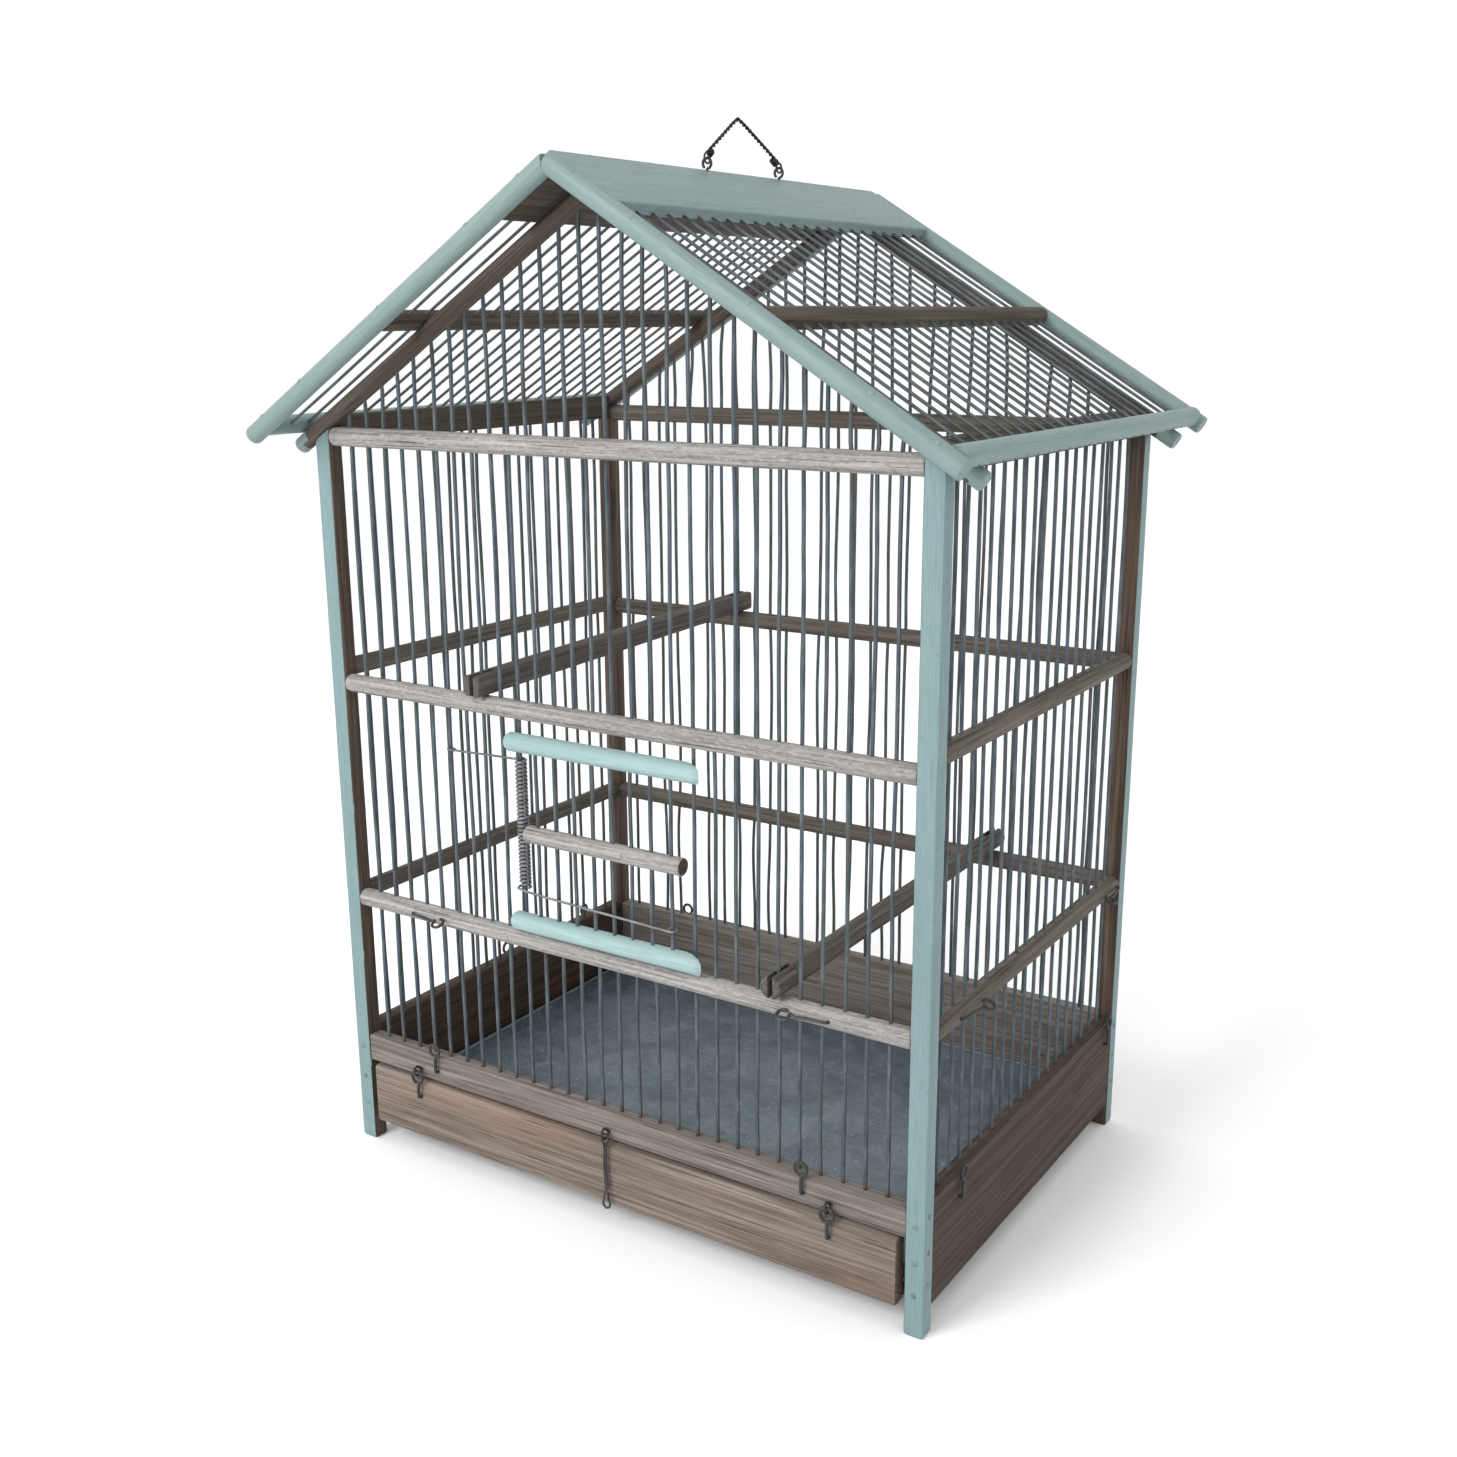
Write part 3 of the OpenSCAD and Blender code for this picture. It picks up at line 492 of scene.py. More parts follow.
BACK_PINE = bare_wood("back_pine", (0.28, 0.255, 0.23), (0.185, 0.158, 0.135), (0.085, 0.064, 0.050),
                      ring=0.5, grey=(0.28, 0.27, 0.26), greyness=0.4)
# the side boards and tray runners: browner pine than the front board, darkened about threefold as painted
# shade for the shaded sides of the cage
SHADED_SIDE_PINE = bare_wood("side_pine_painted_shade", (0.105, 0.073, 0.051), (0.062, 0.041, 0.028), (0.025, 0.015, 0.010),
                      ring=0.5, grey=(0.11, 0.09, 0.072), greyness=0.25)
END_GRAIN = bare_wood("end_grain", (0.14, 0.10, 0.07), (0.085, 0.057, 0.038), (0.03, 0.019, 0.013),
                      ring=0.6, grey=(0.12, 0.10, 0.08), greyness=0.2, ring_scale=700.0)
DARK_WOOD = bare_wood("dark_wood", (0.125, 0.103, 0.080), (0.072, 0.056, 0.041), (0.028, 0.020, 0.014),
                      ring=0.35, grey=(0.15, 0.138, 0.12), greyness=0.28)
POST_INSIDE = bare_wood("post_inside", (0.15, 0.112, 0.084), (0.080, 0.056, 0.040), (0.030, 0.020, 0.014),
                        ring=0.35, grey=(0.15, 0.125, 0.10), greyness=0.2)
PERCH_WOOD = bare_wood("perch_wood", (0.15, 0.138, 0.125), (0.088, 0.077, 0.067), (0.033, 0.026, 0.021),
                       ring=0.4, grey=(0.19, 0.18, 0.172), greyness=0.35)
WIRE = metal("cage_wire", (0.082, 0.103, 0.116), (0.22, 0.25, 0.265), rust=0.5, rust_z=0.0775)
ROOF_WIRE = metal("roof_wire", (0.075, 0.090, 0.097), (0.16, 0.18, 0.19), rust=0.5)
SPRING = metal("spring_steel", (0.165, 0.170, 0.178), (0.30, 0.30, 0.30), rough=0.35, rust=0.4)
IRON = metal("iron_hardware", (0.050, 0.052, 0.052), (0.13, 0.125, 0.12), rough=0.42, rust=0.6)
HANDLE = metal("handle_wire", (0.022, 0.029, 0.029), (0.08, 0.10, 0.095), rough=0.4)
NAIL = metal("nail_heads", (0.15, 0.21, 0.21), (0.06, 0.05, 0.045), rough=0.5, metallic=0.2, rust=0.4)
ZINC = zinc("zinc_sheet")

# ---- corner posts ----
for sx, xn in SIDES:
    for sy, yn in ENDS:
        b = Build()
        x, y = sx * WALL_X, sy * WALL_Y
        bar(b, (x, y, 0), (x, y, POST_BLANK), (1, 0, 0), block_section(POST_W, POST_D, 0.9),
            11 + sx * 2 + sy, step=6, ends=1.8, wear=0.16)
        # the top follows the underside of the rafter
        for i, p in enumerate(b.verts):
            b.verts[i] = Vector((p.x, p.y, p.z * slope_z(p.x, RAFTER_N - RAFTER_R) / POST_BLANK))
        b.piece(f"corner_post_{yn}_{xn}", POST_PAINT, "blue_green_paint", "root", f"post_{yn}_{xn}",
                second=POST_INSIDE, where=lambda c, n: n.x * sx < -0.6 or n.y * sy < -0.6)

# ---- rails ----
for k, (level, z) in enumerate((("top", TOP_Z), ("mid", MID_Z), ("low", LOW_Z))):
    b = Build()
    dowel(b, *span_x(IN_X, -WALL_Y, z), DOWEL_D, 21 + k, across=(0, 1, 0), step=5)
    b.piece(f"front_{level}_rail_dowel", DOWEL, "weathered_dowel", "root", f"front_{level}_rail")
# the back and side rails take the dowel wood darkened as painted shade
b = Build()
for k, z in enumerate((TOP_Z, BACK_MID_Z, BACK_LOW_Z)):
    dowel(b, *span_x(IN_X, WALL_Y, z), DOWEL_D, 31 + k, across=(0, 1, 0), step=6)
b.piece("back_rail_dowels", SHADED_SIDE_DOWEL, "weathered_dowel", "root", "back_rails")
for side, sn in SIDES:
    b = Build()
    for k, z in enumerate((SIDE_MID_Z, SIDE_LOW_Z)):
        dowel(b, *span_y(side * WALL_X, IN_Y, z), DOWEL_D, 41 + k + side * 3, step=6)
    b.piece(f"{sn}_rails_dowels", SHADED_SIDE_DOWEL, "weathered_dowel", "root", f"{sn}_rails")
for side, sn in SIDES:
    plate_w, plate_h, plate_x, plate_z = 9, 17, IN_X + 5, 482.5
    b = Build()
    bar(b, *span_y(side * plate_x, IN_Y, plate_z), (1, 0, 0), block_section(plate_w, plate_h, 0.8),
        51 + side, wear=0.2)
    b.piece(f"{sn}_top_plate_bar", DARK_WOOD, "dark_wood", "root", f"{sn}_top_plate")


# ---- boards ----
def board(name, node, body, ends, across, height, seed, material, r=0.8, wear=0.25):
    b = Build()
    bar(b, *ends, across, block_section(BOARD_T, height, r), seed, step=6, ends=1.0, wear=wear)
    b.piece(name, material, "pine_board", body, node)


board("front_board_upper", "front_board", "root", span_x(IN_X, -BOARD_Y, 68.75), (0, 1, 0), 18.5, 61, PINE)
board("back_board_plank", "back_board", "root", span_x(IN_X, BOARD_Y, BOARD_Z), (0, 1, 0), BOARD_H, 62,
      BACK_PINE)
# the side boards, and below them the tray runners, take the pine darkened as painted shade
for k, (side, sn) in enumerate(SIDES):
    board(f"{sn}_board_plank", f"{sn}_board", "root", span_y(side * BOARD_X, IN_Y, BOARD_Z), (1, 0, 0),
          BOARD_H, 63 + k, SHADED_SIDE_PINE)
board("flap_plank", "flap_board", "flap", span_x(198, FLAP_Y, 36.5), (0, 1, 0), 42, 65, FLAP_PINE,
      r=1.6, wear=0.5)
b = Build()
for side in (-1, 1):
    bar(b, *span_y(side * 199.5, IN_Y, 18.9), (1, 0, 0), block_section(10, 5.8, 0.5), 66 + side)
b.piece("tray_runner_strips", SHADED_SIDE_PINE, "pine_board", "root", "tray_runners")

# ---- tray ----
TRAY_X, TRAY_Y, TRAY_Z, TRAY_H, TRAY_CORNER = 198.0, 134.0, 22.0, 12.0, 4.0
FLOOR_INSET, SHEET = 13.0, 0.9


def tray_outline():
    """Points round the tray, each with its outward direction: four corner arcs, and the sides."""
    arc, along = 4, 24
    cx, cy = TRAY_X - TRAY_CORNER, TRAY_Y - TRAY_CORNER
    out = []
    for k, (sx, sy) in enumerate(((1, 1), (-1, 1), (-1, -1), (1, -1))):
        out += [(sx * cx, sy * cy, *polar(1, 90 * (k + i / arc))) for i in range(arc + 1)]
        for i in range(1, along):
            t = 1 - 2 * i / along
            out.append((sx * cx, sy * cy * t, sx, 0.0) if k % 2 else (sx * cx * t, sy * cy, 0.0, sy))
    return out


def make_tray():
    """The sides with their rolled hem, and a floor with shallow dents."""
    # the profile from the edge of the floor out, up the side and round the hem: outward and up
    profile = [(-14.0, 0.9), (-6.0, 0.8), (-2.4, 0.9), (-1.1, 1.5), (-0.9, 3.0),
               (-0.9, TRAY_H - 3.4), (-0.5, TRAY_H - 1.9), (-0.2, TRAY_H - 0.6), (-0.9, TRAY_H),
               (-1.8, TRAY_H - 0.5), (-2.2, TRAY_H - 1.6), (-1.9, TRAY_H - 2.6), (-1.2, TRAY_H - 2.9)]
    outline = tray_outline()
    b = Build()
    for off, z in profile:
        points = []
        for i, (x, y, nx, ny) in enumerate(outline):
            dent = 0.0 if z < 2 else 0.5 * wave(i * 0.21, 7.3) * z / TRAY_H
            k = TRAY_CORNER + off + min(0.0, dent)
            sag = 0.35 * wave(i * 0.17, 5.1) - 0.35 if z > 5 else 0.0
            points.append(Vector((x + nx * k, y + ny * k, TRAY_Z + z + sag)))
        b.ring(points, [tuple(p) for p in points], [0.0] * len(outline))
    b.skin(0, len(outline), len(profile), capped=False)
    columns, rows = 40, 28
    half_x, half_y = TRAY_X - FLOOR_INSET, TRAY_Y - FLOOR_INSET
    base = len(b.verts)
    for lift, dent in ((SHEET, 0.5), (0.02, 0.0)):
        for j in range(rows + 1):
            for i in range(columns + 1):
                x, y = half_x * (2 * i / columns - 1), half_y * (2 * j / rows - 1)
                inner = min(1.0, min(i, columns - i) / 3, min(j, rows - j) / 3)
                z = TRAY_Z + lift + dent * inner * noise.noise(Vector((x / 55, y / 55, 2.0)))
                b.ring([Vector((x, y, z))], [(x, y, 0.0)], [0.0])
    size = (columns + 1) * (rows + 1)
    for layer in (0, 1):
        for j in range(rows):
            for i in range(columns):
                a = base + layer * size + j * (columns + 1) + i
                quad = (a, a + 1, a + columns + 2, a + columns + 1)
                b.faces.append(quad[::-1] if layer else quad)
    b.piece("zinc_tray", ZINC, "zinc_sheet", "root", "tray")


make_tray()


# ---- wires ----
def wall_wire(b, x, y, z0, z1, holds, seed, bend, along="x", lean=0.0):
    """An upright wire that bows by up to bend between the rails that hold it. Its top leans by lean."""
    marks = sorted([z0] + [h for h in holds if z0 < h < z1] + [z1])
    rnd = random.Random(seed)
    line = []
    for lo, hi in zip(marks, marks[1:]):
        bow = rnd.uniform(-bend, bend)
        skew = rnd.uniform(-bend, bend) * 0.5
        out = rnd.uniform(-0.35, 0.35) * bend
        steps = max(3, int((hi - lo) / 9))
        for t in (k / steps for k in range(steps)):
            arch = math.sin(math.pi * t)
            line.append((lo + (hi - lo) * t, bow * arch + skew * math.sin(2 * math.pi * t), out * arch))
    line.append((z1, 0.0, 0.0))
    path = []
    for z, w, out in line:
        w += lean * max(0.0, z - marks[-2]) / (z1 - marks[-2]) + 0.16 * wave(z / 21.0, seed)
        path.append((x + w, y + out, z) if along == "x" else (x + out, y + w, z))
    tube(b, path, WIRE_R, seed)


b = Build()
for i in range(WIRES_X):
    x, lean = wire_x(i), random.Random(i).uniform(-0.8, 0.8)
    top = slope_z(x, RAFTER_N)
    if i in DOOR_WIRES:
        wall_wire(b, x, -WALL_Y, FRONT_WIRE_FOOT, LOW_Z, (), 200 + i, 0.7)
        wall_wire(b, x, -WALL_Y, MID_Z, top, (TOP_Z,), 240 + i, 0.9, lean=lean)
    else:
        # the two wires that the door turns on and shuts against are straighter
        bend = 0.3 if x in (HINGE_X, STOP_X) else 0.8
        wall_wire(b, x, -WALL_Y, FRONT_WIRE_FOOT, top, (LOW_Z, MID_Z, TOP_Z), 200 + i, bend, lean=lean)
b.piece("front_wall_wires", WIRE, "cage_wire", "root", "front_wires")
b = Build()
for i in range(WIRES_X):
    x, lean = wire_x(i), random.Random(50 + i).uniform(-3.2, 3.2)
    wall_wire(b, x, WALL_Y, WIRE_FOOT, slope_z(x, RAFTER_N), (BACK_LOW_Z, BACK_MID_Z, TOP_Z), 300 + i, 1.3,
              lean=lean)
b.piece("back_wall_wires", WIRE, "cage_wire", "root", "back_wires")
for side, sn in SIDES:
    b = Build()
    for j in range(WIRES_Y):
        wall_wire(b, side * WALL_X, wire_y(j), WIRE_FOOT, 481, (SIDE_LOW_Z, SIDE_MID_Z),
                  400 + j + side * 30, 0.9, "y")
    b.piece(f"{sn}_wall_wires", WIRE, "cage_wire", "root", f"{sn}_wires")
for side, sn in SIDES:
    b = Build()
    for k in range(ROOF_WIRES):
        half = BARGE_Y - BARGE_R
        y = -half + 2 * half / (ROOF_WIRES + 1) * (k + 1)
        s_mid, s_end = PURLIN_X / math.cos(SLOPE), EAVE_X / math.cos(SLOPE) + 5.6
        seed = 500 + k + side * 40
        rnd = random.Random(seed)
        path = []
        for lo, hi, steps in ((40.0, s_mid, 12), (s_mid, s_end, 14)):
            bow, lift = rnd.uniform(-0.9, 0.9), rnd.uniform(-0.4, 0.3)
            for t in (q / steps for q in range(steps)):
                arch = math.sin(math.pi * t)
                path.append(on_slope(side, lo + (hi - lo) * t, y + bow * arch, lift * arch))
        path.append(on_slope(side, s_end, y, 0))
        tube(b, path, ROOF_WIRE_R, seed)
    b.piece(f"roof_wires_{sn}_drawn", ROOF_WIRE, "cage_wire", "root", f"roof_wires_{sn}")


# ---- roof frame ----
def slope_rod(b, side, y, n, x_end, r, points, seed, rough):
    """A round rod down a slope from the ridge, cut upright where it meets its twin."""
    start = len(b.verts)
    bar(b, on_slope(side, 0, y, n), on_slope(side, x_end / math.cos(SLOPE), y, n), (0, 1, 0),
        round_section(r, points, seed, rough), seed, step=6)
    for i in range(start, len(b.verts)):
        v = b.verts[i]
        past = RIDGE_GAP - v.x * side
        if past > 0:
            b.verts[i] = Vector((side * RIDGE_GAP, v.y, v.z - past * math.tan(SLOPE)))


def rafter(b, side, end):
    slope_rod(b, side, end * WALL_Y, RAFTER_N, RAFTER_END_X - RAFTER_N * math.sin(SLOPE), RAFTER_R, 14,
              70 + side * 2 + end, 0.05)


def barge(b, side, end):
    slope_rod(b, side, end * BARGE_Y, 0, BARGE_END_X, BARGE_R, 22, 79 + side * 2 + end, 0.02)


for side, sn in SIDES:
    b = Build()
    rafter(b, side, -1)
    b.piece(f"rafter_rod_front_{sn}", DARK_WOOD, "dark_wood", "root", f"rafter_front_{sn}",
            second=ROOF_PAINT, where=lambda c, n: abs(c.x) > 224)
    b = Build()
    barge(b, side, -1)
    b.piece(f"barge_rod_front_{sn}", ROOF_PAINT, "blue_green_paint", "root", f"barge_front_{sn}")
rafters, barges = Build(), Build()
for side in (-1, 1):
    rafter(rafters, side, 1)
    barge(barges, side, 1)
rafters.piece("rafter_rods_back", DARK_WOOD, "dark_wood", "root", "back_rafters",
              second=ROOF_PAINT, where=lambda c, n: abs(c.x) > 222)
barges.piece("barge_rods_back", ROOF_PAINT, "blue_green_paint", "root", "back_barges")

for side, sn in SIDES:
    half = BARGE_Y - 3.5
    b = Build()
    dowel(b, *slope_line(side, EAVE_X, half, EAVE_N), DOWEL_D, 81 + side, ends=0.5)
    b.piece(f"eave_rod_{sn}_dowel", ROOF_PAINT, "blue_green_paint", "root", f"{sn}_eave_rod")
    b = Build()
    dowel(b, *slope_line(side, PURLIN_X, half, 0), DOWEL_D, 84 + side, ends=0.5)
    b.piece(f"purlin_{sn}_dowel", DARK_WOOD, "dark_wood", "root", f"{sn}_purlin")
    # the ridge board starts beyond the ridge, and what is past it slides back to the mitre
    b = Build()
    wide, half = RIDGE_W + 6, BARGE_Y - 2.2
    middle, n = RIDGE_W - wide / 2, (RIDGE_TOP_N + RIDGE_LOW_N) / 2
    down = on_slope(side, 1, 0, 0) - on_slope(side, 0, 0, 0)
    bar(b, on_slope(side, middle, -half, n), on_slope(side, middle, half, n), down,
        block_section(wide, RIDGE_TOP_N - RIDGE_LOW_N, 1.1), 88 + side, step=7, wear=0.35)
    for i, v in enumerate(b.verts):
        if v.x * side < RIDGE_GAP:
            b.verts[i] = v + down * ((side * RIDGE_GAP - v.x) / down.x)
    b.piece(f"ridge_board_{sn}_plank", ROOF_PAINT, "blue_green_paint", "root", f"{sn}_ridge_board",
            second=DARK_WOOD, where=lambda c, n: n.z < -0.7)


# ---- door ----
def batten(name, node, z, seed):
    """A round batten. Its right end is cut slanting at the back, to lap in front of the stop wire."""
    r, half, slant = 6.0, 71, math.tan(math.radians(31))
    b = Build()
    bar(b, *span_x(half, DOOR_Y, z), (0, 1, 0), round_section(r, 22, seed, 0.02), seed,
        step=3.5, ends=3.2, end_shrink=0.4, wear=0.0)
    for i, v in enumerate(b.verts):
        past = v.x - (STOP_X - 8.5)
        if past > 0:
            # its upper back edge is rounded away too
            y, up = v.y - DOOR_Y, v.z - z
            over = max(0.0, 0.6 * y + 0.8 * up - (r - 0.020 * past ** 2))
            y, up = y - 0.6 * over, up - 0.8 * over
            b.verts[i] = Vector((v.x, DOOR_Y + min(y, r - slant * past), z + up))
    b.piece(name, MINT_PAINT, "mint_paint", "door", node)


batten("door_batten_top", "door_top_batten", DOOR_TOP_Z, 91)
batten("door_batten_low", "door_bottom_batten", DOOR_LOW_Z, 92)
b = Build()
dowel(b, *span_x(57, DOOR_Y, DOOR_BAR_Z), 11, 93, across=(0, 1, 0), ends=0.8, step=4)
b.piece("door_grip_dowel", DOWEL, "weathered_dowel", "door", "door_grip_bar",
        second=END_GRAIN, where=lambda c, n: abs(n.x) > 0.9)
b = Build()
for i in DOOR_WIRES:
    wall_wire(b, wire_x(i), DOOR_Y, DOOR_LOW_Z - 5.2, DOOR_TOP_Z + 5.2, (DOOR_LOW_Z, DOOR_BAR_Z, DOOR_TOP_Z),
              600 + i, 0.5)
b.piece("door_wire_bars", WIRE, "cage_wire", "door", "door_wires")

# the spring: a wound coil with one leg looped round a wall wire, and one leg on the door
SPRING_LOW, SPRING_TOP, COIL_R, COIL_WIRE_R, TURNS, TURN_STEPS = 211.0, 293.0, 2.85, 0.98, 32, 16
coil = []
for k in range(TURNS * TURN_STEPS + 1):
    x, y = polar(COIL_R, 360 * k / TURN_STEPS - 90)
    rise = (SPRING_TOP - SPRING_LOW - 1.8) * k / (TURNS * TURN_STEPS)
    coil.append(Vector((HINGE_X + x, -WALL_Y + y, SPRING_LOW + 0.9 + rise)))
b = Build()
tube(b, coil, COIL_WIRE_R, 610, n=9)
loop_r, loop_x, loop_z = 2.2, wire_x(5), SPRING_TOP - 3.0
leg = [coil[-1], coil[-1] + Vector((-3.2, -0.3, -0.2)), Vector((-84, -WALL_Y - 3.1, SPRING_TOP - 1.6)),
       Vector((-104, -WALL_Y - 2.6, SPRING_TOP - 2.6)), Vector((loop_x + 4, -WALL_Y - loop_r - 0.2, loop_z))]
for a in range(0, 301, 30):
    y, x = polar(loop_r, a)
    leg.append(Vector((loop_x - x, -WALL_Y - y, loop_z - 1.2 * a / 300)))
tube(b, spline(leg, 5), 0.74, 611)
b.piece("door_spring_winding", SPRING, "spring_steel", "root", "door_spring_coil")
b = Build()
turn_z = SPRING_LOW - 1.25
leg_y, eye_r, eye_x, eye_z = DOOR_Y - 2.08, 2.1, wire_x(17), turn_z - 4
leg = []
for a in range(-290, 1, 20):
    # the last turn widens from the coil to the leg
    y, x = polar(COIL_R + 0.3 + (5.0 - COIL_R - 0.3) * max(0.0, (a + 150) / 150), a)
    leg.append(Vector((HINGE_X + x, -WALL_Y - y, turn_z + 0.1 - 0.1 * a / 290)))
leg += [Vector((HINGE_X + 9, DOOR_Y - 2.05, turn_z - 0.8)), Vector((-30, leg_y, turn_z - 1.7)),
        Vector((10, leg_y, turn_z - 2.9)), Vector((eye_x - 4, leg_y, eye_z))]
for a in range(0, 301, 30):
    y, x = polar(eye_r, a)
    leg.append(Vector((eye_x + x, DOOR_Y - y, eye_z + 0.9 * a / 300)))
tube(b, spline(leg, 4), 0.78, 612)
b.piece("door_spring_hook", SPRING, "spring_steel", "door", "door_spring_leg")


# ---- perches ----
def perch(name, node, x, z_front, z_back, section, seed):
    """A perch whose ends are slotted over a wire: each end is two prongs, one on each side of the wire."""
    slot_half, inner, outer = 1.6, WALL_Y - 11.7, WALL_Y + 10
    b = Build()

    def at(y):
        return x, y, z_front + (y + WALL_Y) * (z_back - z_front) / (2 * WALL_Y)

    bar(b, at(-inner), at(inner), (1, 0, 0), section, seed, step=7, wear=0.3, ends=0.3)
    for sy in (-1, 1):
        for px in (-1, 1):
            start = len(b.verts)
            bar(b, at(sy * (inner - 0.2)), at(sy * outer), (1, 0, 0), section, seed + sy,
                step=3, wear=0.3, ends=1.6)
            for i in range(start, len(b.verts)):
                v = b.verts[i]
                if (v.x - x) * px < slot_half:
                    b.verts[i] = Vector((x + px * slot_half, v.y, v.z))
    b.piece(name, PERCH_WOOD, "dark_wood", "root", node)


perch("upper_perch_bar", "upper_perch", wire_x(7), MID_Z + 12.7, MID_Z + 19.7, block_section(12, 13, 1.3), 95)
perch("lower_perch_bar", "lower_perch", wire_x(22), LOW_Z + 13.15, LOW_Z + 15.15,
      round_section(7, 22, 96, 0.06), 96)


# ---- wire fittings ----
def screw_eye(ring_r, ring_z, foot_z):
    """A screw eye at the origin: its ring in the XZ plane, its shank down, then bent into the wood (+Y)."""
    depth = 8.0
    pts = [Vector((0, depth, foot_z)), Vector((0, 1.2, foot_z)), Vector((0, 0.2, foot_z + 1.0)),
           Vector((0.1, 0, foot_z + 3.0)), Vector((0, 0, (foot_z + ring_z - ring_r) / 2))]
    for a in range(0, 340, 24):
        x, z = polar(ring_r, a - 80)
        pts.append(Vector((x * 0.97, -0.35 * a / 340, ring_z + z)))
    return spline(pts, 4)


b = Build()
front, side_x = -CAGE_D / 2 + 0.5, CAGE_W / 2 - 0.5
places = [(-141, front, 0), (138, front, 0), (side_x, -104, 90), (side_x, 126, 90), (-side_x, 10, -90),
          (-side_x, 105, -90), (-146, -front, 180)]
for k, (x, y, degrees) in enumerate(places):
    facing = Matrix.Rotation(math.radians(degrees), 3, "Z")
    line = [facing @ (p + Vector((0, -2.4, 0))) + Vector((x, y, 0)) for p in screw_eye(4.0, 83, 67)]
    tube(b, line, FITTING_R, 700 + k)
b.piece("feeder_screw_eyes", IRON, "iron_hardware", "root", "feeder_eyes")
b = Build()
for k, x in enumerate((-STAPLE_X, STAPLE_X)):
    line = [p + Vector((x, FLAP_AXIS_Y, 0)) for p in screw_eye(4.4, FLAP_AXIS_Z - 4.4, 45.5)]
    tube(b, line, FITTING_R, 710 + k)
b.piece("flap_screw_eyes", IRON, "iron_hardware", "flap", "flap_hinge_eyes")
b = Build()
for k, x in enumerate((-STAPLE_X, 0, STAPLE_X)):
    # two legs side by side in the wood, and a ring between them
    leg_x, deep_y, face_y, end_z = 0.7, FLAP_AXIS_Y + 9.5, FLAP_AXIS_Y + 4.2, FLAP_AXIS_Z + 0.4
    pts = [Vector((x + leg_x, deep_y, FLAP_AXIS_Z)), Vector((x + leg_x, face_y, FLAP_AXIS_Z))]
    for a in range(0, 331, 25):
        y, z = polar(3.0, a)
        pts.append(Vector((x + leg_x - 2 * leg_x * a / 330, FLAP_AXIS_Y + y, FLAP_AXIS_Z - z)))
    pts += [Vector((x - leg_x, face_y, end_z)), Vector((x - leg_x, deep_y, end_z))]
    tube(b, spline(pts, 3), 0.8, 715 + k)
b.piece("hinge_wire_staples", IRON, "iron_hardware", "root", "hinge_staples")

# the pull wire: one wire doubled, a little bent, with a long eye at its foot
b = Build()
y, half, top_z, foot_z = FLAP_AXIS_Y, 0.62, FLAP_AXIS_Z - 2.6, 17.0
top_turn = [polar(1, a) for a in range(0, 181, 30)]
pts = [Vector((half + 0.5, y - 0.1, 27)), Vector((half + 0.4, y, 33)), Vector((half - 0.3, y, 42)),
       Vector((half, y, 56)), Vector((2.1, y, 60.2))]
pts += [Vector((2.4 * c, y, top_z + 2.5 * s)) for c, s in top_turn]
pts += [Vector((-2.1, y, 60.2)), Vector((-half, y, 56)), Vector((-half - 0.3, y, 42)),
        Vector((-half + 0.3, y, 33)), Vector((-half + 0.2, y, 26)), Vector((-1.9, y, 21.0))]
pts += [Vector((-2.6 * c, y, foot_z - 2.6 * s)) for c, s in top_turn]
pts += [Vector((2.0, y, 21.0)), Vector((half + 0.7, y - 0.3, 25.0))]
tube(b, spline(pts, 4), 0.72, 720)
b.piece("flap_pull_wire_bent", IRON, "iron_hardware", "pull_wire", "flap_pull_wire")


def feeder_arm(place, peg, along, out, seed):
    """A bent wire with a peg in the rail and a tilted ring at its end, lying beside the rail."""
    ring_r, length, slant, tilt = 3.8, 26.0, math.radians(8), math.radians(25)
    turn_y = DOWEL_D / 2 + 0.35 + 1.1
    stem = Vector((math.cos(slant), math.sin(slant), 0))
    side = Vector((-math.sin(slant) * math.cos(tilt), math.cos(slant) * math.cos(tilt), -math.sin(tilt)))
    start = Vector((0, turn_y, 0))
    centre = start + stem * length
    pts = [Vector((0, 2.2, 0)), Vector((0, turn_y - 2.2, 0)), Vector((0.35, turn_y - 0.5, 0)),
           start + stem * 2.2, start + stem * 11 + Vector((0, 0, 0.3)), centre - stem * (ring_r + 3.2)]
    for a in range(196, -137, -28):
        c, s = polar(ring_r, a)
        pts.append(centre + stem * c + side * (s * 0.96))
    b = Build()
    origin, x, y = Vector(peg), Vector(along), Vector(out)
    tube(b, [origin + x * p.x + y * p.y + Vector((0, 0, p.z)) for p in spline(pts, 4)], 1.0, seed)
    b.piece(f"arm_wire_{place}", IRON, "iron_hardware", f"arm_{place}", f"feeder_arm_{place}")


feeder_arm("front_left", (-154, -WALL_Y, LOW_Z), (1, 0, 0), (0, -1, 0), 730)
feeder_arm("front_right", (154, -WALL_Y, LOW_Z), (-1, 0, 0), (0, -1, 0), 731)
feeder_arm("right_front", (WALL_X, -111, SIDE_LOW_Z), (0, 1, 0), (1, 0, 0), 732)
feeder_arm("right_back", (WALL_X, 133, SIDE_LOW_Z), (0, -1, 0), (1, 0, 0), 733)
feeder_arm("left_front", (-WALL_X, -4, SIDE_LOW_Z), (0, 1, 0), (-1, 0, 0), 734)
feeder_arm("left_back", (-WALL_X, 92, SIDE_LOW_Z), (0, 1, 0), (-1, 0, 0), 735)
feeder_arm("back", (-160, WALL_Y, BACK_LOW_Z), (1, 0, 0), (0, 1, 0), 736)

